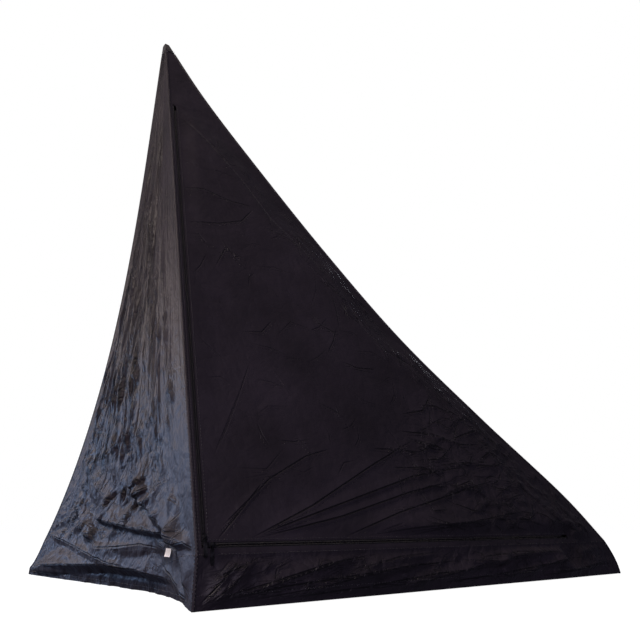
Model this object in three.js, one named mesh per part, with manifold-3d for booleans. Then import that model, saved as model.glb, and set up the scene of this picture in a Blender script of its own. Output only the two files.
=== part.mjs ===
// A sit-in film changing tent: a half pyramid of black light-proof cloth, hung from one mast and held open
// at the hem by a U of rods. The taut near side carries an L-zipped door that folds back over the hip.
// Millimetres, +Z up. X runs from the entrance end (-X) to the foot (+X); the door is on the -Y side.
// The origin is the middle of the floor's outline, on the ground.
import * as THREE from "three";
import Module from "manifold-3d";
import { mergeVertices } from "three/addons/utils/BufferGeometryUtils.js";

const wasm = await Module();
wasm.setup();

// ---------- driving dimensions ----------
const LENGTH = 1350; // floor, entrance to foot
const WIDTH = 1000; // floor, side to side
const HEIGHT = 1500; // ground to the peak
const BAND = 90; // upright skirt round the foot of the walls
const SETBACK = 60; // how far the peak stands behind the entrance hem
const PEAK_HALF = 8; // half width of the blunt peak
const BAND_LEAN = 4; // how far the skirt leans in up to its seam
const CLOTH = 2; // two layers of coated cloth, sewn back to back
const SEW_GAP = 0.4; // clearance between neighbouring panels
const CAP_HEIGHT = 28; // reinforced cap at the peak

const HEM_BOW = 82; // how far the slack entrance hem bows in
const SLACK_SAG = 85; // how far the slack far front edge curves in
const HELD = 20; // height up to which the hem rods hold the far skirt straight
const FAR_HIP_SAG = 18; // how far the far hip seam hangs in
const ROOF_SAG = 15; // how far the back slope hangs in at its middle
const FOOT_FLARE = 58; // how far the skirt at the foot spreads from seam to hem

const ROD_RADIUS = 4;
const ROD_INSET = 12; // rod axis, in from the hem and up from the ground
const SLEEVE_RADIUS = 5.2;
const SLEEVE_LENGTH = 60;
const SLIP = 0.4; // clearance of a rod in its socket

const MAST_RADIUS = 8;
const MAST_WALL = 1;
const MAST_FOOT_X = -580;
const MAST_TOP_X = -602;
const MAST_SECTIONS = 3;

const ZIP_GROOVE = 5; // half of the gap that the zip fills
const ZIP_INSET = 16; // zip line, in from the near front edge
const SILL_RISE = 14; // zip line, up from the skirt seam
const DOOR_TOP = 1233; // height where the upright zip ends
const DOOR_FOOT_X = 440; // where the sill zip ends
const PARKING = 22; // zip length at each end where only the slider rests
const SLIDER_REST = 13; // slider centre, from the end of the zip

// ---------- colours ----------
const finish = (name, color, roughness, metalness = 0) =>
  new THREE.MeshStandardMaterial({ name, color, roughness, metalness });
const WALL_CLOTH = finish("wall_cloth", 0x24242a, 0.6);
const FLOOR_CLOTH = finish("floor_cloth", 0x1c1c20, 0.7);
const WEBBING = finish("webbing", 0x1a1a1c, 0.85);
const LABEL_CLOTH = finish("label_cloth", 0xe8e8e6, 0.8);
const ELASTIC = finish("elastic", 0x222222, 0.85);
const PLASTIC = finish("plastic", 0x17171a, 0.5);
const RUBBER = finish("rubber", 0x141414, 0.9);
const GLASS_FIBRE = finish("glass_fibre", 0x1d1d20, 0.4);
const ALLOY = finish("alloy", 0x9a9da1, 0.35, 1);
const ZIP_METAL = finish("zip_metal", 0x2b2b2e, 0.35, 1);

const tent = new THREE.Group();

// Adds a named mesh to a group.
function part(name, geometry, material = WALL_CLOTH, parent = tent) {
  const mesh = new THREE.Mesh(geometry, material);
  mesh.name = name;
  parent.add(mesh);
  return mesh;
}

// ---------- shape of the tent ----------
const PANEL_TOP = HEIGHT - CAP_HEIGHT - SEW_GAP;
const RISE = HEIGHT - BAND; // from the skirt seam to the peak

// Height share above the skirt seam: 0 at the seam, 1 at the peak.
const share = (z) => (z - BAND) / RISE;

// Half width of a flat leaning side at height z, and of the upright skirt below it.
function sideHalf(z) {
  if (z < BAND) return WIDTH / 2 - (BAND_LEAN * z) / BAND;
  return THREE.MathUtils.lerp(WIDTH / 2 - BAND_LEAN, PEAK_HALF, share(z));
}

const frontX = (z) => -LENGTH / 2 + (SETBACK * z) / HEIGHT;
const slackSag = (z) => {
  const above = Math.max(0, z - HELD) / (HEIGHT - HELD);
  return SLACK_SAG * Math.sin(Math.PI * above ** 0.7);
};

// The two front edges: the near one is drawn straight by the zip, the far one hangs slack.
const nearFront = (z) => new THREE.Vector3(frontX(z), -sideHalf(z), z);
const farFront = (z) => {
  const sag = slackSag(z);
  return new THREE.Vector3(frontX(z) + 0.65 * sag, sideHalf(z) - 0.76 * sag, z);
};

// The hip seams, seen from the side: a hanging curve that rounds over at the foot.
const hipCurve = new THREE.CatmullRomCurve3(
  [[-604, HEIGHT], [-509, 1320], [-343, 1075], [-172, 845], [16, 625], [254, 415], [517, 200], [617, BAND]]
    .map(([x, z]) => new THREE.Vector3(x, 0, z)));

const HIP_STEPS = 22;
const hipPoints = hipCurve.getSpacedPoints(400);

// Position along X of the hips at height z, and of the foot's skirt below the seam.
function hipX(z) {
  if (z < BAND) return LENGTH / 2 - FOOT_FLARE * (z / BAND) ** 1.6;
  const upper = hipPoints.findLastIndex((p) => p.z >= z);
  const lower = Math.min(upper + 1, hipPoints.length - 1);
  const [p, q] = [hipPoints[upper], hipPoints[lower]];
  return p.z === q.z ? p.x : THREE.MathUtils.mapLinear(z, p.z, q.z, p.x, q.x);
}

const nearHip = (z) => new THREE.Vector3(hipX(z), -sideHalf(z), z);
const farHip = (z) => {
  const sag = z > BAND ? FAR_HIP_SAG * Math.sin(Math.PI * share(z)) : 0;
  return new THREE.Vector3(hipX(z), sideHalf(z) - sag, z);
};

// How far the entrance hem bows in, at share s of the way from the near corner to the far one.
const hemBow = (s) => HEM_BOW * (0.55 * (s ** 1.4 * (1 - s) ** 3.6) / 0.0516 + 0.45 * Math.sin(Math.PI * s));

// Share of the hem's bow that is left at height z on the entrance wall.
function bowLeft(z) {
  if (z < BAND) return 1 - (0.4 * z) / BAND;
  return 0.6 * Math.max(0, 1 - (z - BAND) / 420) ** 2;
}

// A point of the entrance wall, with the bow.
function entrancePoint(s, z) {
  const p = nearFront(z).lerp(farFront(z), s);
  p.x += hemBow(s) * bowLeft(z);
  return p;
}

// ---------- building closed sheets ----------
// A closed solid between two grids of points of the same size, its faces turned outwards.
function closedSheet(outer, inner) {
  const rows = outer.length;
  const columns = outer[0].length;
  const positions = [...outer.flat(), ...inner.flat()].flatMap((p) => p.toArray());
  const at = (side, r, c) => side * rows * columns + r * columns + c;
  const last = columns - 1;
  const quads = [];
  for (let r = 0; r < rows - 1; r++)
    for (let c = 0; c < columns - 1; c++) {
      quads.push([at(0, r, c), at(0, r, c + 1), at(0, r + 1, c + 1), at(0, r + 1, c)]);
      quads.push([at(1, r, c), at(1, r + 1, c), at(1, r + 1, c + 1), at(1, r, c + 1)]);
    }
  for (let r = 0; r < rows - 1; r++) {
    quads.push([at(0, r, 0), at(0, r + 1, 0), at(1, r + 1, 0), at(1, r, 0)]);
    quads.push([at(0, r, last), at(1, r, last), at(1, r + 1, last), at(0, r + 1, last)]);
  }
  for (let c = 0; c < columns - 1; c++) {
    quads.push([at(0, 0, c), at(1, 0, c), at(1, 0, c + 1), at(0, 0, c + 1)]);
    quads.push([at(0, rows - 1, c), at(0, rows - 1, c + 1), at(1, rows - 1, c + 1), at(1, rows - 1, c)]);
  }
  const index = quads.flatMap(([a, b, c, d]) => [a, b, c, a, c, d]);
  const geometry = new THREE.BufferGeometry();
  geometry.setAttribute("position", new THREE.Float32BufferAttribute(positions, 3));
  geometry.setIndex(signedVolume(positions, index) < 0 ? index.reverse() : index);
  return geometry;
}

function signedVolume(positions, index) {
  const [a, b, c] = [new THREE.Vector3(), new THREE.Vector3(), new THREE.Vector3()];
  let sum = 0;
  for (let i = 0; i < index.length; i += 3) {
    a.fromArray(positions, 3 * index[i]);
    b.fromArray(positions, 3 * index[i + 1]);
    c.fromArray(positions, 3 * index[i + 2]);
    sum += a.dot(b.cross(c)) / 6;
  }
  return sum;
}

// A wall panel: pointAt(s, z) on its outer face for each height, thickened along inward.
function wallPanel(heights, columns, pointAt, inward) {
  const shares = Array.from({ length: columns + 1 }, (_, i) => i / columns);
  const outer = heights.map((z) => shares.map((s) => pointAt(s, z)));
  const step = inward.clone().normalize().multiplyScalar(CLOTH);
  const inner = outer.map((row) => row.map((p) => p.clone().add(step)));
  return closedSheet(outer, inner);
}

// Heights from low to high, evenly spaced.
const levels = (low, high, count) =>
  Array.from({ length: count + 1 }, (_, i) => low + ((high - low) * i) / count);

// Moves both ends of a straight run in by a seam's clearance.
function between(a, b, s, insetA, insetB) {
  const run = b.clone().sub(a);
  const long = run.length();
  return a.clone().addScaledVector(run.normalize(), insetA + s * (long - insetA - insetB));
}

// Joins and cuts with manifold-3d.
function solid(geometry) {
  const bare = geometry.clone();
  bare.deleteAttribute("normal");
  bare.deleteAttribute("uv");
  const merged = mergeVertices(bare, 1e-4);
  return new wasm.Manifold(new wasm.Mesh({
    numProp: 3,
    vertProperties: merged.attributes.position.array,
    triVerts: new Uint32Array(merged.index.array),
  }));
}

function geometryOf(manifold) {
  const mesh = manifold.getMesh();
  const geometry = new THREE.BufferGeometry();
  geometry.setAttribute("position", new THREE.BufferAttribute(mesh.vertProperties, 3));
  geometry.setIndex(new THREE.BufferAttribute(mesh.triVerts, 1));
  return geometry;
}

// ---------- entrance end ----------
const X = new THREE.Vector3(1, 0, 0);
const Y = new THREE.Vector3(0, 1, 0);
const CORNER_INSET = CLOTH + 1; // keeps the end panels clear of the side panels
const SEAM_LOW = BAND - SEW_GAP;
const SEAM_HIGH = BAND + SEW_GAP;
const FLOOR_TOP = CLOTH + SEW_GAP; // lowest point of what stands on the groundsheet

function entranceInset(s, z) {
  const far = farFront(z);
  const span = far.y - nearFront(z).y;
  const inner = (CORNER_INSET + s * (span - 2 * CORNER_INSET)) / span;
  return entrancePoint(inner, z);
}

part("end_wall", wallPanel(levels(SEAM_HIGH, PANEL_TOP, 20), 14, entranceInset, X));
part("end_band", wallPanel(levels(FLOOR_TOP, SEAM_LOW, 3), 14, entranceInset, X));

// Small blank side label, sewn into the skirt seam.
const LABEL = { width: 13, drop: 22, share: 0.185, thickness: 0.8, standoff: 5, turn: -0.2, tilt: 0.12 };
const labelBody = new THREE.BoxGeometry(LABEL.thickness, LABEL.width, LABEL.drop);
const label = part("side_label", labelBody, LABEL_CLOTH);
label.position.copy(entranceInset(LABEL.share, BAND - LABEL.drop / 2));
label.position.x -= LABEL.standoff;
label.rotation.set(0, LABEL.tilt, LABEL.turn);

// ---------- far side, foot and floor ----------
const farPoint = (s, z) => between(farFront(z), farHip(z), s, SEW_GAP, SEW_GAP);
const roofPoint = (s, z) => {
  const p = between(nearHip(z), farHip(z), s, 4, 4);
  const sag = z > BAND ? ROOF_SAG * Math.sin(Math.PI * s) * Math.sin(Math.PI * share(z)) : 0;
  return p.add(new THREE.Vector3(-sag, 0, -sag));
};
const hipHeights = Array.from({ length: HIP_STEPS + 1 }, (_, i) => hipCurve.getPointAt(i / HIP_STEPS).z)
  .map((z) => THREE.MathUtils.clamp(z, SEAM_HIGH, PANEL_TOP))
  .reverse();

const bandHeights = levels(FLOOR_TOP, SEAM_LOW, 4);
part("far_wall", wallPanel(hipHeights, 3, farPoint, Y.clone().negate()));
part("back_slope", wallPanel(hipHeights, 6, roofPoint, new THREE.Vector3(-1, 0, -0.3)));
part("far_band", wallPanel(bandHeights, 1, farPoint, Y.clone().negate()));
part("back_band", wallPanel(bandHeights, 1, roofPoint, X.clone().negate()));

// The groundsheet: a rectangle whose entrance edge follows the slack hem.
const floorShape = new THREE.Shape([
  new THREE.Vector2(LENGTH / 2, -WIDTH / 2),
  new THREE.Vector2(LENGTH / 2, WIDTH / 2),
  ...Array.from({ length: 17 }, (_, i) => 1 - i / 16)
    .map((s) => new THREE.Vector2(-LENGTH / 2 + hemBow(s), (s - 0.5) * WIDTH)),
]);
const floorBody = new THREE.ExtrudeGeometry(floorShape, { depth: CLOTH, bevelEnabled: false });
part("groundsheet", floorBody, FLOOR_CLOTH);

// Reinforced cap at the peak, with a socket for the mast's tip.
const TIP_RADIUS = 4;
function peakCap() {
  const ring = (z) => [nearFront(z), nearHip(z), farHip(z), farFront(z)];
  const bottom = ring(HEIGHT - CAP_HEIGHT);
  const block = solid(closedSheet(
    [[bottom[0], bottom[1]], [bottom[3], bottom[2]]],
    [[ring(HEIGHT)[0], ring(HEIGHT)[1]], [ring(HEIGHT)[3], ring(HEIGHT)[2]]]));
  const depth = CAP_HEIGHT - 8;
  const socket = new THREE.CylinderGeometry(TIP_RADIUS + SLIP, TIP_RADIUS + SLIP, 2 * depth, 16);
  socket.rotateX(Math.PI / 2);
  socket.translate(MAST_TOP_X, 0, HEIGHT - CAP_HEIGHT);
  return geometryOf(block.subtract(solid(socket)));
}
part("apex_cap", peakCap(), WEBBING);

// ---------- near side: a flat leaning plane, drawn in its own frame ----------
// In this frame x runs along the hem, y up the slope and z out of the cloth.
const LEAN = Math.atan2(WIDTH / 2 - BAND_LEAN - PEAK_HALF, RISE);
const nearSide = new THREE.Group();
nearSide.position.set(0, -(WIDTH / 2 - BAND_LEAN), BAND);
nearSide.rotation.x = Math.PI / 2 - LEAN;
tent.add(nearSide);

const upSlope = (z) => (z - BAND) / Math.cos(LEAN);
const heightAt = (v) => BAND + v * Math.cos(LEAN);
const nearEdge = (v) => frontX(heightAt(v));
const ZIP_LEAN = Math.atan2(nearEdge(1000) - nearEdge(0), 1000);
const zipU = (v) => nearEdge(v) + ZIP_INSET;
const DOOR_TOP_V = upSlope(DOOR_TOP);

const flat = (points, thickness = CLOTH) => {
  const geometry = new THREE.ExtrudeGeometry(
    new THREE.Shape(points.map(([u, v]) => new THREE.Vector2(u, v))),
    { depth: thickness, bevelEnabled: false });
  return geometry.translate(0, 0, -thickness);
};

// The fold line that the door turns on, from the top of the upright zip to the end of the sill zip.
const foldTop = new THREE.Vector2(zipU(DOOR_TOP_V) + ZIP_GROOVE, DOOR_TOP_V);
const foldFoot = new THREE.Vector2(DOOR_FOOT_X, SILL_RISE + ZIP_GROOVE);
const foldAcross = foldFoot.clone().sub(foldTop).normalize().rotateAround(new THREE.Vector2(), -Math.PI / 2);
const zipAlong = new THREE.Vector2(Math.sin(ZIP_LEAN), Math.cos(ZIP_LEAN));

const sillTop = SILL_RISE + ZIP_GROOVE;
const sillLow = SILL_RISE - ZIP_GROOVE;

// The strip between the front edge and the upright zip.
part("near_edge_strip", flat([
  [nearEdge(sillLow + SEW_GAP), sillLow + SEW_GAP],
  [zipU(sillLow) - ZIP_GROOVE, sillLow + SEW_GAP],
  [zipU(DOOR_TOP_V) - ZIP_GROOVE, DOOR_TOP_V - SEW_GAP],
  [nearEdge(DOOR_TOP_V), DOOR_TOP_V - SEW_GAP],
]), WALL_CLOTH, nearSide);

// The door: a triangle between both zips and the fold, which it meets with a narrow gap.
const FOLD_GAP = 1;
const doorPeak = DOOR_TOP_V + (FOLD_GAP * zipAlong.y) / zipAlong.dot(foldAcross);
part("door_panel", flat([
  [zipU(sillTop) + ZIP_GROOVE, sillTop],
  [foldFoot.x + FOLD_GAP / foldAcross.x, sillTop],
  [zipU(doorPeak) + ZIP_GROOVE, doorPeak],
]), WALL_CLOTH, nearSide);

// The hip panel: from the peak down between the fold and the hip seam.
const hipOutline = levels(sillLow + SEW_GAP, upSlope(PANEL_TOP), HIP_STEPS)
  .map((v) => [hipX(heightAt(v)), v]);
part("hip_panel", flat([
  [foldFoot.x + SEW_GAP, sillLow + SEW_GAP],
  ...hipOutline,
  [nearEdge(upSlope(PANEL_TOP)), upSlope(PANEL_TOP)],
  [nearEdge(DOOR_TOP_V), DOOR_TOP_V + SEW_GAP],
  [foldTop.x, DOOR_TOP_V + SEW_GAP],
  foldTop.toArray(),
  foldFoot.toArray(),
]), WALL_CLOTH, nearSide);

// The near skirt, with a lip that turns up into the leaning side below the sill zip.
function nearBandPoint(s, z) {
  if (z <= SEAM_HIGH) return between(nearFront(z), nearHip(z), s, 0, 0);
  const v = z - BAND;
  const x = THREE.MathUtils.lerp(nearEdge(v), hipX(heightAt(v)), s);
  return new THREE.Vector3(x, -(WIDTH / 2 - BAND_LEAN) + v * Math.sin(LEAN), heightAt(v));
}
const nearBandHeights = [...levels(FLOOR_TOP, BAND, 4), BAND + sillLow - 1];
part("near_band", wallPanel(nearBandHeights, 1, nearBandPoint, Y));

// ---------- zips ----------
// Each zip has its own frame: y along the zip, z out of the cloth, x across it. frameSide is -1 or 1, the
// side of x that stays with the tent; the door is on the other one.
const TAPE = { inner: 1.2, frame: 11.5, door: 15, top: -2.4, thickness: 0.8 };
const COIL = { inner: 0.8, outer: 3.6, low: -2, high: 0.8 };
const STOP = 3; // length of the metal stop at each end of the chain
const UPRIGHT_LENGTH = (DOOR_TOP_V - SILL_RISE) / Math.cos(ZIP_LEAN);
const SILL_LENGTH = DOOR_FOOT_X - zipU(SILL_RISE);

// A bar along a zip, from a section of [x across, z out of the cloth] points.
function lengthwise(section, from, to) {
  const shape = new THREE.Shape(section.map(([x, z]) => new THREE.Vector2(x, z)));
  const bar = new THREE.ExtrudeGeometry(shape, { depth: to - from, bevelEnabled: false });
  return bar.rotateX(Math.PI / 2).translate(0, to, 0);
}

const strip = (side, inner, outer, low, high, from, to) => lengthwise(
  [[side * inner, low], [side * outer, low], [side * outer, high], [side * inner, high]], from, to);

// Half of the chain: a bar with its top edges taken off, as the sewn coil is round.
function coil(side, from, to) {
  const { inner, outer, low, high } = COIL;
  const round = 0.9;
  return lengthwise([
    [inner, low], [outer, low], [outer, high - round], [outer - round, high], [inner + round, high],
    [inner, high - round],
  ].map(([x, z]) => [side * x, z]), from, to);
}

// The slider: two plates joined by a post that runs between the half chains, with side walls over the coil.
// Its bridge is the loop that the pull hangs on; crownTurn turns it across or along the zip.
const SLIDER = { half: 4.5, length: 14, plate: 1.2, lift: 1.2, drop: 3.6, wall: 0.5, post: 0.3 };
const FLANGE_LOW = -1.6;
const BRIDGE = { half: 2.6, leg: 1.2, length: 6, height: 3.7, bar: 1.4 };
function sliderBody(crownTurn) {
  const { half, length, plate, lift, drop, wall, post } = SLIDER;
  const box = (x0, x1, y0, y1, z0, z1) => new THREE.BoxGeometry(x1 - x0, y1 - y0, z1 - z0)
    .translate((x0 + x1) / 2, (y0 + y1) / 2, (z0 + z1) / 2);
  const long = length / 2;
  const top = lift + plate;
  const peak = top + BRIDGE.height;
  const body = [
    box(-half, half, -long, long, lift, top),
    box(-half + wall, half - wall, -long, long, -drop - plate, -drop),
    box(-post, post, -long, long / 2, -drop, lift),
    box(-half, -half + wall, -long, long, FLANGE_LOW, lift),
    box(half - wall, half, -long, long, FLANGE_LOW, lift),
  ];
  const bridge = [
    box(-BRIDGE.half, BRIDGE.leg - BRIDGE.half, -BRIDGE.length / 2, BRIDGE.length / 2, top, peak),
    box(BRIDGE.half - BRIDGE.leg, BRIDGE.half, -BRIDGE.length / 2, BRIDGE.length / 2, top, peak),
    box(-BRIDGE.half, BRIDGE.half, -BRIDGE.bar / 2, BRIDGE.bar / 2, peak - BRIDGE.bar, peak),
  ].map((leg) => leg.rotateZ(crownTurn));
  return geometryOf([...body, ...bridge].map(solid).reduce((sum, piece) => sum.add(piece)));
}

// The pull: a flat tag hanging along -y from an eye round the slider's bridge.
const PULL = { width: 7, length: 34, thickness: 1.6, eye: 1.6, rim: 1, neck: 2, shoulder: 9 };
const PIVOT_HEIGHT = SLIDER.lift + SLIDER.plate + BRIDGE.height - BRIDGE.bar / 2;
function pullTag() {
  const { width, length, thickness, eye, rim, neck, shoulder } = PULL;
  const outline = new THREE.Shape();
  outline.absarc(0, width / 2 - length, width / 2, Math.PI, 2 * Math.PI);
  outline.lineTo(width / 2, -shoulder);
  outline.lineTo(neck / 2, -shoulder / 2);
  outline.lineTo(neck / 2, eye + rim / 2);
  outline.lineTo(-neck / 2, eye + rim / 2);
  outline.lineTo(-neck / 2, -shoulder / 2);
  outline.lineTo(-width / 2, -shoulder);
  const options = { depth: thickness, bevelEnabled: false, curveSegments: 8 };
  const tag = solid(new THREE.ExtrudeGeometry(outline, options).translate(0, 0, -thickness / 2));
  const head = solid(new THREE.CylinderGeometry(eye + rim, eye + rim, neck, 20).rotateZ(Math.PI / 2));
  const hole = solid(new THREE.CylinderGeometry(eye, eye, 2 * neck, 20).rotateZ(Math.PI / 2));
  return geometryOf(tag.add(head).subtract(hole));
}

// One zip: tapes, half chains and stops on both sides, and the slider with its pull at the corner end.
// crownTurn and pullTilt set how the pull hangs: turned about the cloth's normal, tipped in to the cloth.
function zip(name, length, frameSide, crownTurn, pullTilt) {
  const group = new THREE.Group();
  const doorSide = -frameSide;
  const { inner, frame, door, top, thickness } = TAPE;
  const run = [PARKING, length - PARKING];
  part(`${name}_tape_frame`, strip(frameSide, inner, frame, top - thickness, top, 0, length), WEBBING, group);
  part(`${name}_tape_door`, strip(doorSide, inner, door, top - thickness, top, ...run), WEBBING, group);
  part(`${name}_chain_frame`, coil(frameSide, STOP + 0.5, length - STOP - 0.5), PLASTIC, group);
  part(`${name}_chain_door`, coil(doorSide, run[0] + 1, run[1] - 1), PLASTIC, group);
  for (const [end, from] of [["start", 0.1], ["end", length - STOP]]) {
    const stop = strip(frameSide, 0.6, 4.4, COIL.low, COIL.high, from, from + STOP - 0.1);
    part(`${name}_${end}_stop`, stop, ZIP_METAL, group);
  }
  const slider = part(`${name}_slider`, sliderBody(crownTurn), ZIP_METAL, group);
  slider.position.y = SLIDER_REST;
  const pull = part(`${name}_pull`, pullTag(), ZIP_METAL, group);
  pull.position.set(0, SLIDER_REST, PIVOT_HEIGHT);
  pull.rotation.set(pullTilt, 0, crownTurn, "ZXY");
  nearSide.add(group);
  return group;
}

const upright = zip("upright_zip", UPRIGHT_LENGTH, -1, 0, THREE.MathUtils.degToRad(5));
upright.position.set(zipU(SILL_RISE), SILL_RISE, 0);
upright.rotation.z = -ZIP_LEAN;
const sill = zip("sill_zip", SILL_LENGTH, 1, Math.PI / 2, THREE.MathUtils.degToRad(14));
sill.position.set(zipU(SILL_RISE), SILL_RISE, 0);
sill.rotation.z = -Math.PI / 2;

// Light baffles behind the zips: strips that stand off behind the chain and reach past it under the door.
const BAFFLE = { root: 11.5, reach: 34, stand: 8, thickness: 1.5 };
function baffle(name, frameSide, from, to, parent) {
  const { root, reach, stand, thickness } = BAFFLE;
  const top = TAPE.top - TAPE.thickness - SEW_GAP;
  const section = [
    [-root, top], [-root + 4, top], [-root + 8, -stand], [reach, -stand],
    [reach, -stand - thickness], [-root + 7, -stand - thickness], [-root + 3, top - thickness],
    [-root, top - thickness],
  ].map(([x, z]) => [-frameSide * x, z]);
  part(name, lengthwise(section, from, to), WALL_CLOTH, parent);
}
baffle("upright_baffle", -1, BAFFLE.reach + 2, UPRIGHT_LENGTH - 60, upright);
baffle("sill_baffle", 1, 0, SILL_LENGTH - 40, sill);

// ---------- mast ----------
const mast = new THREE.Group();
const MAST_BASE = FLOOR_TOP + 2.2;
const MAST_RUN = HEIGHT - CAP_HEIGHT - MAST_BASE;
mast.position.set(MAST_FOOT_X, 0, MAST_BASE);
mast.rotation.y = Math.atan2(MAST_TOP_X - MAST_FOOT_X, MAST_RUN);
tent.add(mast);

// A turned piece, its profile given as [radius, height] pairs.
const turned = (profile, sides = 16) => new THREE.LatheGeometry(
  profile.map(([r, h]) => new THREE.Vector2(r, h)), sides).rotateX(Math.PI / 2);
const tube = (outer, inner, low, high, sides = 16) => turned(
  [[inner, low], [outer, low], [outer, high], [inner, high], [inner, low]], sides);

const FOOT_SOLE = 5;
const TUBE_LOW = FOOT_SOLE + SLIP;
const TUBE_TOP = 1436 - MAST_BASE;
const SECTION = (TUBE_TOP - TUBE_LOW) / MAST_SECTIONS;
const BORE = MAST_RADIUS - MAST_WALL;
const FERRULE = { reach: 45, wall: 1.6 };

const FOOT_BORE = MAST_RADIUS + SLIP;
part("mast_foot", turned([
  [0, 0], [12, 0], [13, 2], [12, 26], [FOOT_BORE, 26], [FOOT_BORE, FOOT_SOLE], [0, FOOT_SOLE],
]), RUBBER, mast);
["lower", "middle", "upper"].forEach((name, i) => {
  const low = TUBE_LOW + i * SECTION + (i ? SLIP / 2 : 0);
  const high = TUBE_LOW + (i + 1) * SECTION - SLIP / 2;
  part(`mast_${name}`, tube(MAST_RADIUS, BORE, low, high), ALLOY, mast);
});
["lower", "upper"].forEach((name, i) => {
  const middle = TUBE_LOW + (i + 1) * SECTION;
  const outer = BORE - SLIP;
  const { reach, wall } = FERRULE;
  part(`mast_${name}_ferrule`, tube(outer, outer - wall, middle - reach, middle + reach), ALLOY, mast);
});
part("mast_tip", turned([
  [2, TUBE_TOP - 20], [BORE - SLIP, TUBE_TOP - 20], [BORE - SLIP, TUBE_TOP + SLIP],
  [MAST_RADIUS, TUBE_TOP + SLIP], [MAST_RADIUS, TUBE_TOP + 4], [TIP_RADIUS, TUBE_TOP + 12],
  [TIP_RADIUS, MAST_RUN + 14], [TIP_RADIUS - 1.5, MAST_RUN + 16], [0, MAST_RUN + 16],
  [0, TUBE_TOP - 6], [2, TUBE_TOP - 6], [2, TUBE_TOP - 20],
]), PLASTIC, mast);
part("mast_cord", turned([
  [0, TUBE_LOW + 4], [1.4, TUBE_LOW + 4], [1.4, TUBE_TOP - 7], [0, TUBE_TOP - 7],
], 8), ELASTIC, mast);

// The doubled patch on the groundsheet that the mast stands on.
const patch = part("mast_patch", turned([
  [0, 0], [34, 0], [34, 1.5], [0, 1.5],
], 24), WEBBING);
patch.position.set(MAST_FOOT_X + 8, 0, FLOOR_TOP);

// ---------- hem rods ----------
const SIDE_AXIS = WIDTH / 2 - ROD_INSET;
const FOOT_AXIS = LENGTH / 2 - ROD_INSET - 4;
const ELBOW = { radius: 6, reach: 40, socket: 18 };
const CAP = { radius: 6, length: 20, floor: 3 };
const CAP_END = -LENGTH / 2 + 14;
const ROD_START = CAP_END + CAP.floor + SLIP;
const ROD_END = FOOT_AXIS - ELBOW.reach + ELBOW.socket - SLIP;

const alongX = (geometry, y) => geometry.rotateY(Math.PI / 2).translate(0, y, ROD_INSET);
const alongY = (geometry, x) => geometry.rotateX(-Math.PI / 2).translate(x, 0, ROD_INSET);
const rod = (from, to) => turned([[0, from], [ROD_RADIUS, from], [ROD_RADIUS, to], [0, to]], 12);
const sleeve = (middle) =>
  tube(SLEEVE_RADIUS, ROD_RADIUS + SLIP, middle - SLEEVE_LENGTH / 2, middle + SLEEVE_LENGTH / 2, 12);

// A half-round cloth tunnel round a rod that runs along an axis, its closed side turned inwards.
function tunnel(name, along, inward, centre, from, to) {
  const bore = SLEEVE_RADIUS + 0.6;
  const section = new THREE.Shape();
  section.absarc(0, 0, bore + 1.4, -Math.PI / 2, Math.PI / 2, false);
  section.absarc(0, 0, bore, Math.PI / 2, -Math.PI / 2, true);
  const depth = to - from;
  const wall = new THREE.ExtrudeGeometry(section, { depth, bevelEnabled: false, curveSegments: 6 });
  wall.translate(0, 0, from);
  wall.applyMatrix4(new THREE.Matrix4().makeBasis(inward, along.clone().cross(inward), along));
  part(name, wall.translate(...centre), WEBBING);
}

// One straight run of rod sections, joined by sleeves.
function rodRun(name, place, from, to, count) {
  const step = (to - from) / count;
  for (let i = 0; i < count; i++) {
    const section = rod(from + i * step + SLIP / 2, from + (i + 1) * step - SLIP / 2);
    part(`${name}_rod_${i + 1}`, place(section), GLASS_FIBRE);
  }
  for (let i = 1; i < count; i++)
    part(`${name}_sleeve_${i}`, place(sleeve(from + i * step)), ALLOY);
}

for (const [name, side] of [["near", -1], ["far", 1]]) {
  const y = side * SIDE_AXIS;
  rodRun(name, (g) => alongX(g, y), ROD_START, ROD_END, 3);
  tunnel(`${name}_hem_tunnel`, X, Y.clone().multiplyScalar(-side), [0, y, ROD_INSET],
    ROD_START + CAP.length, ROD_END - ELBOW.socket - 4);

  const socket = ROD_RADIUS + SLIP;
  const cup = turned([
    [0, 0], [CAP.radius, 0], [CAP.radius, CAP.length], [socket, CAP.length], [socket, CAP.floor],
    [0, CAP.floor],
  ], 12);
  part(`${name}_rod_cap`, alongX(cup.translate(0, 0, CAP_END), y), PLASTIC);

  // The moulded corner elbow, with a socket at each end.
  const bend = new THREE.CatmullRomCurve3([[ELBOW.reach, 0], [20, 0], [6, 6], [0, 20], [0, ELBOW.reach]]
    .map(([back, in_]) => new THREE.Vector3(FOOT_AXIS - back, y - side * in_, ROD_INSET)));
  const round = new THREE.Shape().absarc(0, 0, ELBOW.radius, 0, 2 * Math.PI);
  const body = solid(new THREE.ExtrudeGeometry(round, { extrudePath: bend, steps: 14, curveSegments: 6 }));
  const bore = (low, high) => turned([[0, low], [socket, low], [socket, high], [0, high]], 12);
  const mouth = FOOT_AXIS - ELBOW.reach;
  const along = solid(alongX(bore(mouth - 5, mouth + ELBOW.socket), y));
  const back = SIDE_AXIS - ELBOW.reach;
  const [low, high] = side < 0 ? [-back - ELBOW.socket, -back + 5] : [back - 5, back + ELBOW.socket];
  const across = solid(alongY(bore(low, high), FOOT_AXIS));
  part(`${name}_elbow`, geometryOf(body.subtract(along).subtract(across)), PLASTIC);
}

const BACK_END = SIDE_AXIS - ELBOW.reach + ELBOW.socket - SLIP;
rodRun("back", (g) => alongY(g, FOOT_AXIS), -BACK_END, BACK_END, 2);
const BACK_TUNNEL = BACK_END - ELBOW.socket - 4;
tunnel("back_hem_tunnel", Y, X.clone().negate(), [FOOT_AXIS, 0, ROD_INSET], -BACK_TUNNEL, BACK_TUNNEL);

export default tent;
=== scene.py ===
import math

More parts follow.
